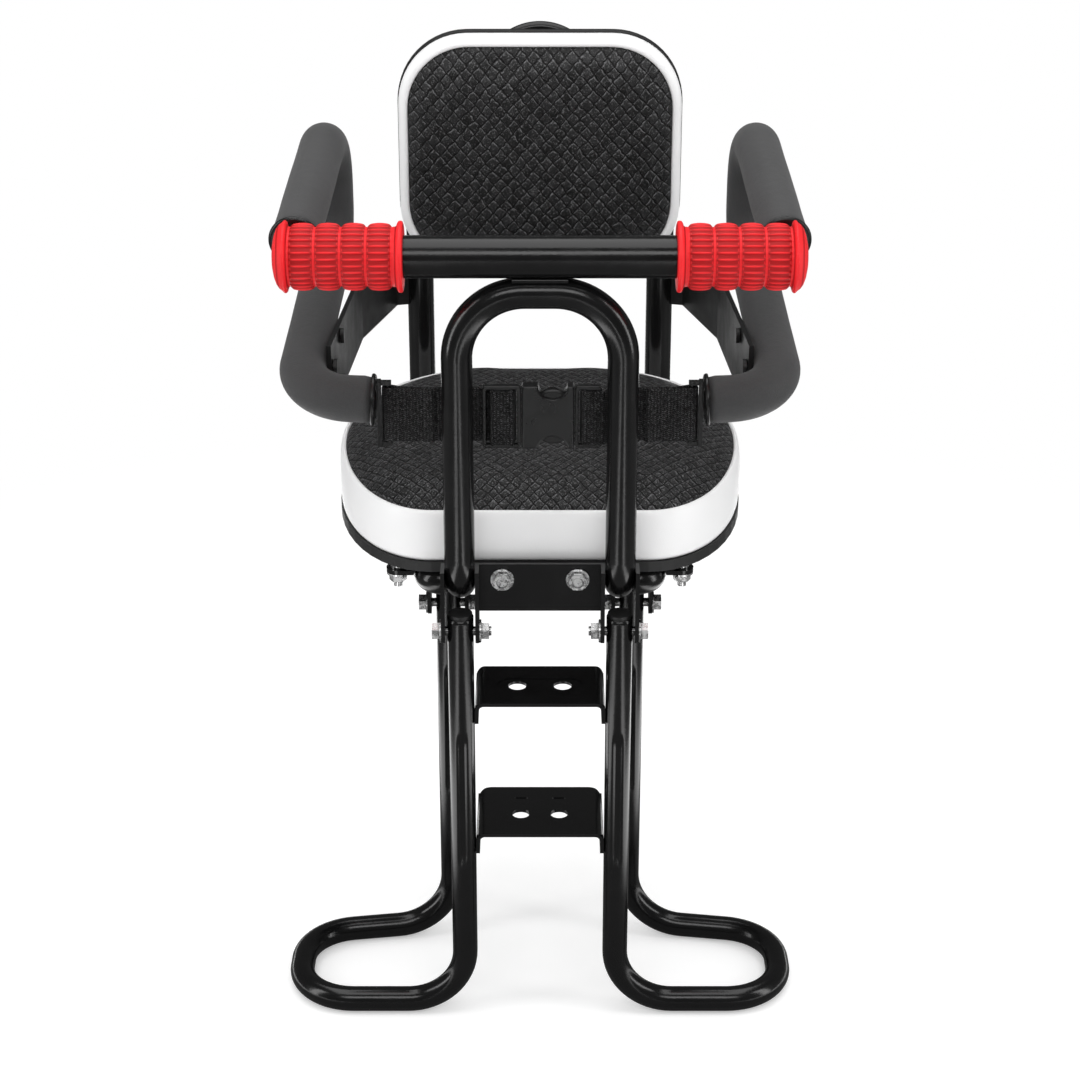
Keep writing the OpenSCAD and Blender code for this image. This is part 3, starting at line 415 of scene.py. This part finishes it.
def tube(stops, radius, sides, press=None):
    """Closed round bar along the stops, in metres. press(place, offset) gives the depth of a dent."""
    side = stops[0][1].cross(Vector((0.1, 0.2, 1))).normalized()
    rings = []
    for place, direction in stops:
        side = (side - direction * side.dot(direction)).normalized()
        up = direction.cross(side)
        ring = []
        for k in range(sides):
            a = TAU * k / sides
            offset = side * math.cos(a) + up * math.sin(a)
            r = radius(place) if callable(radius) else radius
            if press:
                r -= press(place, offset)
            ring.append((place + offset * r) * MM)
        rings.append(ring)
    return skin(rings)


def lathe(profile, origin, axis, steps=64):
    """Solid of revolution: profile holds (radius, height) in mm along axis from origin."""
    axis = Vector(axis).normalized()
    x = axis.orthogonal().normalized()
    y = axis.cross(x)
    origin = Vector(origin)
    rings = [[(origin + axis * h + (x * math.cos(TAU * k / steps) + y * math.sin(TAU * k / steps)) * r) * MM
              for k in range(steps)] for r, h in profile]
    return skin(rings)


def smooth_step(x):
    x = min(1.0, max(0.0, x))
    return x * x * (3 - 2 * x)


# Frame nodes

def dress(mat, *names):
    for name in names:
        mesh = nodes[name].data
        mesh.materials.clear()
        mesh.materials.append(mat)


dress(PAINT, "back_posts", "seat_rails", "front_arch", "front_bracket", "front_bar", "bar_weld",
      "upper_clamp_plate", "lower_clamp_plate", "outer_ears", "rear_ears", "cross_bars", "seat_lugs",
      "carry_loop", "back_brackets", "belt_anchors")
dress(BAND, "side_band_left", "side_band_right", "side_band_screws")
dress(ZINC, "bracket_bolts", "front_leg_bolts", "rear_leg_bolts", "seat_bolts", "backrest_bolts")
dress(BOARD, "seat_board", "leg_plugs")
dress(STEEL, "arm_tube_left", "arm_tube_right")


# Legs

PRESS_Z = 170  # middle height of the pressed groove
PRESS_L = 100
PRESS_DEPTH = 1.7
PRESS_END = 7  # length over which each end fades
PRESS_HALF = math.radians(26)  # half the angle that the groove takes of the tube
PRESS_SIDE = math.radians(15)  # angle over which each side fades


def pressed(place, offset):
    """Depth of the groove pressed along the front of a leg."""
    if abs(place.z - PRESS_Z) > PRESS_L / 2:
        return 0.0
    angle = abs(math.atan2(offset.x, -offset.y))
    if angle > PRESS_HALF:
        return 0.0
    end = smooth_step((PRESS_L / 2 - abs(place.z - PRESS_Z)) / PRESS_END)
    return PRESS_DEPTH * end * smooth_step((PRESS_HALF - angle) / PRESS_SIDE)


leg_path = [(ARCH_HALF_W, ARCH_Y, LEG_TOP), (ARCH_HALF_W, ARCH_Y, LEG_R), (FOOT_REACH, ARCH_Y, LEG_R),
            (FOOT_REACH, FOOT_REAR_Y, LEG_R), (*REAR_LEG, LEG_R), (*REAR_LEG, REAR_LEG_TOP)]
leg_bends = [0, ANKLE_BEND, FOOT_BEND, FOOT_BEND, ANKLE_BEND, 0]
leg_shape = tube(route(leg_path, leg_bends, 3), LEG_R, 64, pressed)
piece("leg_tube_right", *leg_shape, PAINT, "frame_paint", ["leg_right"])
piece("leg_tube_left", *mirrored(*leg_shape), PAINT, "frame_paint", ["leg_left"])


# Hand grips

GRIP_START = 82.4  # inner end of the right grip
BARREL_START = 6.4
BARREL_L = 15.5
BARRELS = [(BARREL_START + BARREL_L * k, BARREL_START + BARREL_L + BARREL_L * k) for k in range(4)]
GRIP_R = 20.1
RIBS = 30
PER_RIB = 10  # points round one rib
RIB_DEPTH = 1.3


def grip_profile():
    """(radius, height, rib share) from the inner flange to the domed outer end."""
    rows = [(13.1, 0.0, 0), (20.0, 0.0, 0), (21.3, 0.5, 0), (21.7, 1.5, 0), (21.5, 2.7, 0), (20.4, 3.5, 0),
            (18.7, 4.1, 0), (18.1, 4.9, 0), (18.0, 6.2, 0)]
    for start, stop in BARRELS:
        for share, rise, rib in ((0.0, -2.3, 0), (0.03, -2.2, 0), (0.06, -1.5, 0.2), (0.10, -0.85, 0.8),
                                 (0.15, -0.40, 1), (0.25, -0.05, 1), (0.4, 0.2, 1), (0.5, 0.25, 1),
                                 (0.6, 0.2, 1), (0.75, -0.05, 1), (0.85, -0.40, 1), (0.90, -0.85, 0.8),
                                 (0.94, -1.5, 0.2), (0.97, -2.2, 0)):
            rows.append((GRIP_R + rise, start + (stop - start) * share, rib))
    rows += [(18.0, 68.4, 0), (18.3, 69.2, 0), (19.8, 69.8, 0), (21.3, 70.2, 0), (21.9, 70.9, 0),
             (21.9, 71.7, 0), (21.3, 72.3, 0), (20.5, 73.0, 0), (19.4, 74.6, 0), (17.2, 76.2, 0),
             (13.6, 77.6, 0), (9.0, 78.6, 0), (4.5, 78.95, 0), (0.02, 79.0, 0)]
    return rows


def grip_shape():
    """Ribbed grip round the bar, from its profile."""
    steps = RIBS * PER_RIB
    rings = []
    for r, height, rib in grip_profile():
        ring = []
        for k in range(steps):
            t = TAU * k / steps
            ridge = abs((k % PER_RIB) / PER_RIB - 0.5) * 2
            valley = RIB_DEPTH * rib * smooth_step((0.92 - ridge) / 0.40)
            dip = r - valley
            ring.append((BAR_AXIS + Vector((GRIP_START + height, math.cos(t) * dip, math.sin(t) * dip))) * MM)
        rings.append(ring)
    return skin(rings)


grip_mesh = grip_shape()
grip_right = piece("grip_cover_right", *grip_mesh, RED, "grip_red", ["grip_right"])
grip_left = piece("grip_cover_left", *mirrored(*grip_mesh), RED, "grip_red", ["grip_left"])
for cover in (grip_right, grip_left):
    sharpen(cover, 75)


# Arm foams and their caps

ARM = [(150, -104, 546), (142, 66, 576), (142, 66, 494), (153, -110, 446), (106, -110, 444)]
ARM_BENDS = [0, 36, 36, 32, 0]
FOAM_R = 15
arm_stops = route(ARM, ARM_BENDS, 4, 4)


def foam_radius(place):
    """Foam swells a little between its caps, and its skin is never quite even."""
    rim = min((place - Vector(ARM[0])).length, (place - Vector(ARM[-1])).length)
    uneven = 0.22 * noise.noise(place * 0.035)
    return FOAM_R - 0.9 * (1 - smooth_step(rim / 3)) + uneven - 0.1


arm_shape = tube(arm_stops, foam_radius, 48)
foam_right = piece("foam_sleeve_right", *arm_shape, FOAM, "arm_foam", ["arm_foam_right"])
foam_left = piece("foam_sleeve_left", *mirrored(*arm_shape), FOAM, "arm_foam", ["arm_foam_left"])

CAP_PROFILE = [(0.01, 3.0), (5.6, 3.0), (6.2, 2.5), (11.5, 2.5), (12.2, 3.0), (14.6, 3.0), (15.8, 2.6),
               (16.4, 1.7), (16.5, 0.9), (16.2, 0.2), (15.6, 0.02), (0.01, 0.02)]
cap_parts = []
for at, before in ((ARM[0], ARM[1]), (ARM[-1], ARM[-2])):
    one = lathe(list(reversed(CAP_PROFILE)), at, Vector(at) - Vector(before))
    cap_parts += [one, mirrored(*one)]
caps = piece("arm_end_caps", *joined(*cap_parts), CAP, "black_plastic", ["arm_caps"])
sharpen(caps, 40)


# Cushions

SEAT_HALF_W = 135
SEAT_FRONT_Y = -115
SEAT_MID_Y = 5
SEAT_DEPTH = 238
REAR_DEPTH = 118
FRONT_FLAT = 70
REAR_FLAT = 35
SEAM_Z = 368.25  # height of the cushion's seam at the front
SEAM_RISE = 12  # how much higher the seam is at the rear
PUFF_CAP = 0.0025  # most that the cloth may move a cushion, in metres


def outline(grow, steps=24):
    """Seat outline: flat front, elliptical corners and a fuller rear."""
    front = (FRONT_FLAT, SEAT_HALF_W - FRONT_FLAT, SEAT_MID_Y - SEAT_FRONT_Y)
    rear = (REAR_FLAT, SEAT_HALF_W - REAR_FLAT, REAR_DEPTH)
    corners = [(*front, -90, 1), (*rear, 0, 1), (*rear, 90, -1), (*front, 180, -1)]
    points = []
    for flat, a, b, start, side in corners:
        for i in range(steps + 1):
            t = math.radians(start + 90 * i / steps)
            x = side * flat + (a + grow) * math.cos(t)
            points.append(Vector((x, SEAT_MID_Y + (b + grow) * math.sin(t), 0)))
    return points


def even(points, count):
    """A closed line resampled to equal steps."""
    line = points + [points[0]]
    lengths = [0.0]
    for a, b in zip(line, line[1:]):
        lengths.append(lengths[-1] + (b - a).length)
    result, k = [], 0
    for i in range(count):
        goal = lengths[-1] * i / count
        while lengths[k + 1] < goal:
            k += 1
        span = lengths[k + 1] - lengths[k]
        result.append(line[k].lerp(line[k + 1], (goal - lengths[k]) / span if span else 0))
    return result


def seat_seam(y):
    """Height of the seam at depth y."""
    return SEAM_Z + SEAM_RISE * max(0.0, (y - SEAT_FRONT_Y) / SEAT_DEPTH)


def puff(obj, weights, cap):
    """Inflates a remeshed copy as cloth and carries its swelling back, held to cap metres."""
    copy = add_object("puff_copy", obj.data.copy())
    bpy.context.view_layer.objects.active = copy
    remesh = copy.modifiers.new("remesh", "REMESH")
    remesh.mode = "VOXEL"
    remesh.voxel_size = 0.005
    bpy.ops.object.modifier_apply(modifier=remesh.name)
    before = [v.co.copy() for v in copy.data.vertices]
    cloth = copy.modifiers.new("cloth", "CLOTH")
    cloth.settings.use_pressure = True
    cloth.settings.uniform_pressure_force = 4
    cloth.settings.effector_weights.gravity = 0
    for number in range(1, 21):
        scene.frame_set(number)
    shaped = copy.evaluated_get(bpy.context.evaluated_depsgraph_get()).to_mesh()
    tree = kdtree.KDTree(len(before))
    for i, place in enumerate(before):
        tree.insert(place, i)
    tree.balance()
    moves = [shaped.vertices[i].co - place for i, place in enumerate(before)]
    for vert, weight in zip(obj.data.vertices, weights):
        found = tree.find_n(vert.co, 5)
        share = [1 / (distance + 0.001) for _, _, distance in found]
        move = sum((moves[i] * s for (_, i, _), s in zip(found, share)), Vector()) / sum(share)
        if move.length > cap:
            move = move.normalized() * cap
        vert.co += move * weight
    mesh = copy.data
    bpy.data.objects.remove(copy)
    bpy.data.meshes.remove(mesh)
    scene.frame_set(1)
    obj.data.update()


def crowned(rim, centre, lift, wall, rings_in):
    """Closed cushion: a wall ring list, then rings that shrink to the centre. Returns shape and weights."""
    rings = list(wall)
    weights = [0.0] * sum(len(r) for r in wall)
    for i in range(1, rings_in):
        k = 1 - (i / rings_in) ** 1.35
        rings.append([lift(centre + (p - centre) * k, k) for p in rim])
        weights += [smooth_step((1 - k) / 0.16)] * len(rim)
    verts, faces = skin(rings, close_start=True, close_end=False)
    last = (len(rings) - 1) * len(rim)
    verts.append(lift(centre, 0.0))
    weights.append(1.0)
    top = len(verts) - 1
    n = len(rim)
    faces += [(last + i, last + (i + 1) % n, top) for i in range(n)]
    return (verts, faces), weights


SEAT_RING = even(outline(-3.3), 132)
SEAT_CENTRE = Vector((0, SEAT_MID_Y, 0))
SEAT_CROWN = 11.5
PAD_BASE = 334.85


def seat_lift(p, k):
    rise = SEAT_CROWN * (1 - k ** 6) + 1.3 * smooth_step((1 - k) / 0.02)
    ripple = 0.5 * noise.noise(p * 0.03) * (1 - k ** 8)
    return Vector((p.x, p.y, seat_seam(p.y) - 0.4 + rise + ripple)) * MM


seat_wall = [[Vector((p.x, p.y, PAD_BASE)) * MM for p in SEAT_RING],
             [Vector((p.x, p.y, seat_seam(p.y) - 4)) * MM for p in SEAT_RING],
             [Vector((p.x, p.y, seat_seam(p.y) - 0.4)) * MM for p in SEAT_RING]]
seat_shape, seat_weights = crowned(SEAT_RING, SEAT_CENTRE, seat_lift, seat_wall, 44)
seat_pad = piece("seat_pad", *seat_shape, SEAT_FABRIC, "dark_fabric", ["seat_cushion"])
puff(seat_pad, seat_weights, PUFF_CAP)

# Side band: soft vinyl that bulges between its two edges and rolls in over the seam
BAND_BASE = 334.8
BAND_ROWS = [(-3.0, 0.0, 0.5), (-0.6, 0.0, 0.2), (0.4, 0.03, 0.8), (0.9, 0.10, 0), (1.3, 0.28, 0),
             (1.5, 0.50, 0), (1.4, 0.70, 0), (0.9, 0.86, 0), (0.3, 0.95, 0), (-0.5, 1.0, 0.1),
             (-1.3, 1.0, 0.95), (-2.3, 1.0, 1.15), (-3.1, 1.0, 0.4), (-3.15, 1.0, -3.0)]


def band_ring(grow, share, lift):
    ring = []
    for p in even(outline(grow), 176):
        top = seat_seam(p.y)
        pull = 0.25 * noise.noise(Vector((p.x, p.y, 40 * share)) * 0.04) * math.sin(math.pi * share)
        direction = (p - SEAT_CENTRE).normalized()
        q = p + direction * pull
        ring.append(Vector((q.x, q.y, BAND_BASE + (top - BAND_BASE) * share + lift)) * MM)
    return ring


seat_band_shape = skin([band_ring(*row) for row in BAND_ROWS], close_start=False, close_end=False)
piece("seat_side_band", *seat_band_shape, VINYL, "white_vinyl", ["seat_band"])


BACK_W, BACK_H, BACK_R = 196, 166, 48
BACK_Z = 542
BACK_DEPTH = 17
BACK_INSET = 6.8  # from the band's outside to the cushion's edge
BOARD_FACE = POST_Y - POST_R - BRACKET_T - BOARD_T
BACK_CENTRE = Vector((0, BOARD_FACE - BACK_DEPTH, BACK_Z))
RING_POINTS = 120


def round_ring(w, h, r, y):
    """Rounded rectangle in the XZ plane about the backrest's middle, wound to face the front."""
    points = []
    for q, (sx, sz) in enumerate(((1, 1), (-1, 1), (-1, -1), (1, -1))):
        for i in range(15):
            t = math.radians(90 * q + 90 * i / 14)
            points.append(Vector((sx * (w / 2 - r) + r * math.cos(t), y,
                                  BACK_Z + sz * (h / 2 - r) + r * math.sin(t))))
    return even(points, RING_POINTS)


def back_ring(shrink, depth):
    """Ring of the backrest, drawn in by shrink and at depth in front of the board."""
    return round_ring(BACK_W - 2 * shrink, BACK_H - 2 * shrink, BACK_R - shrink * 0.8,
                      BOARD_FACE - depth)


BACK_RIM = back_ring(BACK_INSET, BACK_DEPTH)


def back_lift(p, k):
    rise = 8.5 * (1 - k ** 7) + 1.0 * smooth_step((1 - k) / 0.03) - 0.6
    ripple = 0.4 * noise.noise(p * 0.035) * (1 - k ** 8)
    return Vector((p.x, BOARD_FACE - BACK_DEPTH - rise - ripple, p.z)) * MM


back_wall = [[p * MM for p in back_ring(BACK_INSET, depth)] for depth in (0.1, 12, 16.4)]
back_shape, back_weights = crowned(BACK_RIM, BACK_CENTRE, back_lift, back_wall, 40)
back_pad = piece("backrest_pad", *back_shape, BACK_FABRIC, "dark_fabric", ["backrest_cushion"])
puff(back_pad, back_weights, PUFF_CAP)

BACK_ROWS = [(3.0, 0.1), (0.8, 0.1), (0.3, 0.8), (0.0, 3.0), (-0.1, 7.0), (0.0, 10.5), (0.5, 13.2),
             (1.5, 15.4), (2.9, 16.9), (4.4, 17.5), (5.6, 17.6), (6.4, 17.2), (6.75, 16.2), (6.75, 12)]
back_band_rings = [[p * MM for p in back_ring(shrink, depth)] for shrink, depth in BACK_ROWS]
back_band_shape = skin(back_band_rings, close_start=False, close_end=False)
piece("backrest_side_band", *back_band_shape, VINYL, "white_vinyl", ["backrest_band"])

PANEL_ROWS = [(0.2, -7), (-0.6, -6.7), (-1, -6), (-1, -0.9), (-0.6, -0.2), (0.2, 0)]
panel_shape = skin([[p * MM for p in back_ring(shrink, depth)] for shrink, depth in PANEL_ROWS])
back_panel = piece("backrest_panel", *panel_shape, BOARD, "black_plastic", ["backrest_board"])
sharpen(back_panel, 40)


# Belt and buckle

BELT_Z = 435
BELT_HALF = 18
CAP_T = 3
CAP_LEAN = 16.5 * 2 / 47  # how far a cap's rim leans in, from the slope of the arm's end
ANCHOR_T = 2.5
PIN_X = ARM[-1][0] - CAP_T - CAP_LEAN - ANCHOR_T - 4.5
UNDER_Y, OVER_Y, SEWN_Y = -112.1, -119.5, -113.2  # behind the frames, over their bars, at the fold


def ribbon(path, bends, half_w=BELT_HALF, half_t=0.85):
    """Webbing standing on edge along plan corners of (x, y) in mm, with round selvedges."""
    stops = route([(x, y, 0) for x, y in path], bends, 2.5, 12)
    edge = [(0.98, -1.0), (1.0, 0), (0.98, 1.0), (0.7, 1.7), (0.0, 2.0),
            (-0.7, 1.7), (-0.98, 1.0), (-1.0, 0), (-0.98, -1.0), (-0.7, -1.7), (0.0, -2.0), (0.7, -1.7)]
    section = [(n * half_t, math.copysign(half_w - 2 * half_t, h) + h * half_t if h else 0.0)
               for n, h in edge]
    rings = []
    for place, direction in stops:
        normal = Vector((direction.y, -direction.x, 0))
        wave = 0.12 * noise.noise(Vector((place.x * 0.09, place.y * 0.09, 3)))
        rings.append([(place + normal * (n + wave) + Vector((0, 0, BELT_Z + h))) * MM for n, h in section])
    verts, faces = skin(rings)
    return verts, [tuple(reversed(f)) for f in faces]


def belt_corners(near, far, run_out):
    """Threaded over a buckle bar, back to the anchor pin, round it and forward to the sewn hem."""
    corners = [(near - 3.0, UNDER_Y + 0.6), (near - 1.4, OVER_Y), (far + 1.2, OVER_Y),
               (far + run_out, UNDER_Y), (62, UNDER_Y + 0.2), (84, UNDER_Y + 0.8),
               (PIN_X - 1, SEWN_Y + 6.4), (PIN_X + 3.2, SEWN_Y + 6.4), (PIN_X + 3.2, SEWN_Y), (67.5, SEWN_Y)]
    return corners, [0, 1.1, 1.1, 1.4, 20, 12, 6, 3.19, 3.19, 0]


hem = ribbon([(66.6, SEWN_Y - 0.75), (73.0, SEWN_Y - 0.75)], [0, 0], BELT_HALF + 0.2, 1.15)
right_belt = joined(ribbon(*belt_corners(28.8, 38.8, 4.6)), hem)
left_belt = mirrored(*joined(ribbon(*belt_corners(18.8, 29.2, 2.2)), hem))
piece("belt_strap_right", *right_belt, WEBBING, "belt_webbing", ["belt_right"])
piece("belt_strap_left", *left_belt, WEBBING, "belt_webbing", ["belt_left"])


def plate(name, outer, holes, y, thick, mat, replaced=(), bevel=0.7):
    """A moulded plate in the XZ plane from rounded outlines, centred on depth y. Sizes in mm."""
    curve = bpy.data.curves.new(name, "CURVE")
    curve.dimensions = "2D"
    curve.fill_mode = "BOTH"
    curve.extrude = (thick / 2 - bevel) * MM
    curve.bevel_depth = bevel * MM
    curve.bevel_resolution = 3
    curve.offset = -bevel * MM
    for line in [outer] + holes:
        spline = curve.splines.new("POLY")
        spline.points.add(len(line) - 1)
        for point, (x, z) in zip(spline.points, line):
            point.co = (x * MM, z * MM, 0, 1)
        spline.use_cyclic_u = True
    flat = add_object(name + "_outline", curve)
    bpy.context.view_layer.update()
    mesh = bpy.data.meshes.new_from_object(flat.evaluated_get(bpy.context.evaluated_depsgraph_get()))
    bpy.data.objects.remove(flat)
    bpy.data.curves.remove(curve)
    mesh.name = name
    mesh.transform(Matrix.Translation((0, y * MM, BELT_Z * MM)) @ Matrix.Rotation(math.pi / 2, 4, "X"))
    mesh.materials.clear()
    mesh.materials.append(mat)
    obj = add_object(name, mesh)
    settle(obj, replaced)
    sharpen(obj, 35)
    return obj


def rounded(x0, x1, z0, z1, r, steps=5):
    """Rounded rectangle as (x, z) points."""
    points = []
    for q, (x, z) in enumerate(((x1 - r, z1 - r), (x0 + r, z1 - r), (x0 + r, z0 + r), (x1 - r, z0 + r))):
        for i in range(steps + 1):
            t = math.radians(90 * q + 90 * i / steps)
            points.append((x + r * math.cos(t), z + r * math.sin(t)))
    return points


def arc(cx, cz, rx, rz, start, stop, steps=14):
    return [(cx + rx * math.cos(math.radians(start + (stop - start) * i / steps)),
             cz + rz * math.sin(math.radians(start + (stop - start) * i / steps))) for i in range(steps + 1)]


HALF_H = 20.7  # half the buckle's height
NOTCH = (8, 9.4, 8.4)  # middle, radius and depth of a release notch
BUCKLE_Y = -114.2
FRAME_Y = -115.8
FRAME_T = 5.0
SLOT_HALF = 18.3  # half the height of a frame's slot
notch_z = HALF_H + NOTCH[1] - NOTCH[2]
reach = math.degrees(math.asin((HALF_H - notch_z) / NOTCH[1]))
body_line = ([(-11.5, -19.2), (-11.0, -20.2), (-10.0, -HALF_H)]
             + arc(NOTCH[0], -notch_z, NOTCH[1], NOTCH[1], 180 + reach, -reach)
             + [(20.0, -HALF_H), (21.0, -20.2), (21.5, -19.2), (21.5, 19.2), (21.0, 20.2), (20.0, HALF_H)]
             + arc(NOTCH[0], notch_z, NOTCH[1], NOTCH[1], reach, -180 - reach)
             + [(-10.0, HALF_H), (-11.0, 20.2), (-11.5, 19.2)])
plate("buckle_shell", body_line, [], BUCKLE_Y, 11.4, BUCKLE, ["buckle_body"], 1.1)
for name, sign in (("upper", 1), ("lower", -1)):
    lens = arc(NOTCH[0], sign * (HALF_H - 2.6 - NOTCH[2] + 2.2), 8.9, 6.2, 0, 360, 32)[:-1]
    plate("buckle_button_" + name, lens, [], BUCKLE_Y, 7.4, BUCKLE, bevel=1.3)
plate("buckle_frame_right", rounded(21.8, 38.8, -HALF_H, HALF_H, 2.4),
      [rounded(24.2, 28.8, -SLOT_HALF, SLOT_HALF, 0.8)], FRAME_Y, FRAME_T, BUCKLE, ["buckle_tongue"])
plate("buckle_frame_left", rounded(-36.2, -11.8, -HALF_H, HALF_H, 2.4),
      [rounded(x0, x1, -SLOT_HALF, SLOT_HALF, 0.8) for x0, x1 in ((-33.8, -29.2), (-18.8, -14.2))],
      FRAME_Y, FRAME_T, BUCKLE, ["buckle_adjuster"])


# Stage, lights and world

FLOOR_HALF = 6
FLOOR_Z = -0.0002  # just under the feet
STRIP_IN = (0.22, 0.27)  # metres from the middle, over which a bright strip begins
STRIP_OUT = (0.44, 0.39)  # and over which it ends
STRIP_GLOW = 2.6


def floor():
    """White to the camera. Reflections see a dim floor with two bright strips, which edge the dark tubes."""
    mesh = bpy.data.meshes.new("floor")
    signs = ((-1, -1), (1, -1), (1, 1), (-1, 1))
    corners = [(x * FLOOR_HALF, y * FLOOR_HALF, FLOOR_Z) for x, y in signs]
    mesh.from_pydata(corners, [], [(0, 1, 2, 3)])
    mat = bpy.data.materials.new("floor")
    g = Graph(mat)
    tree = g.tree
    tree.nodes.remove(tree.nodes["Principled BSDF"])
    matt = g.add("ShaderNodeBsdfDiffuse", {"Color": (0.80, 0.80, 0.80, 1)})
    glow = g.add("ShaderNodeEmission", {"Color": (1, 1, 1, 1), "Strength": 0.34})
    lifted = g.add("ShaderNodeAddShader", {0: matt.outputs[0], 1: glow.outputs[0]})
    path = g.add("ShaderNodeLightPath").outputs
    place = g.add("ShaderNodeTexCoord").outputs["Object"]
    seen = g.math("MAXIMUM", path["Is Camera Ray"], path["Is Transmission Ray"])
    white = g.add("ShaderNodeEmission", {"Color": (1, 1, 1, 1), "Strength": 1.0})
    away = g.add("ShaderNodeVectorMath", {0: place}, operation="LENGTH").outputs["Value"]
    fade = g.remap(away, 0.35, 1.0, kind="SMOOTHSTEP")
    backdrop = g.add("ShaderNodeMixShader", {0: fade, 1: lifted.outputs[0], 2: white.outputs[0]})
    dim = g.add("ShaderNodeBsdfDiffuse", {"Color": (0.16, 0.16, 0.16, 1)})
    across = g.math("ABSOLUTE", g.add("ShaderNodeSeparateXYZ", {"Vector": place}).outputs["X"])
    strip = g.math("MULTIPLY", g.remap(across, *STRIP_IN), g.remap(across, *STRIP_OUT))
    strip_light = g.math("MULTIPLY", strip, STRIP_GLOW)
    panel = g.add("ShaderNodeEmission", {"Color": (1, 1, 1, 1), "Strength": strip_light})
    low = g.add("ShaderNodeAddShader", {0: dim.outputs[0], 1: panel.outputs[0]})
    under = g.add("ShaderNodeMixShader", {0: path["Is Glossy Ray"], 1: matt.outputs[0], 2: low.outputs[0]})
    mixed = g.add("ShaderNodeMixShader", {0: seen, 1: under.outputs[0], 2: backdrop.outputs[0]})
    tree.links.new(mixed.outputs[0], tree.nodes["Material Output"].inputs["Surface"])
    mesh.materials.append(mat)
    obj = add_object("floor", mesh)


floor()


def area_light(name, place, target, size, power):
    data = bpy.data.lights.new(name, "AREA")
    data.shape = "RECTANGLE"
    data.size, data.size_y = size
    data.energy = power
    obj = add_object(name, data)
    obj.location = place
    obj.rotation_euler = (Vector(target) - Vector(place)).to_track_quat("-Z", "Y").to_euler()


area_light("top_light", (0, 0.1, 2.4), (0, 0, 0.3), (2.2, 2.2), 30)
area_light("left_light", (-1.9, -0.7, 0.9), (0, 0, 0.35), (0.5, 2.0), 13)
area_light("right_light", (1.9, -0.7, 0.9), (0, 0, 0.35), (0.5, 2.0), 13)
area_light("front_light", (0, -2.4, 2.3), (0, 0, 0.35), (2.4, 0.8), 20)

# The camera sees white, and reflections and scattered light see a darker world
world = bpy.data.worlds.new("studio")
scene.world = world
graph = Graph(world)
sky = graph.tree.nodes["Background"]
rays = graph.add("ShaderNodeLightPath").outputs
shown = graph.math("MAXIMUM", rays["Is Camera Ray"], rays["Is Transmission Ray"])
unseen = graph.remap(rays["Is Glossy Ray"], 0.0, 1.0, 0.55, 0.10)
graph.feed(sky.inputs["Strength"], graph.remap(shown, 0.0, 1.0, unseen, 1.0))
sky.inputs["Color"].default_value = (1, 1, 1, 1)
scene.view_settings.view_transform = "Standard"
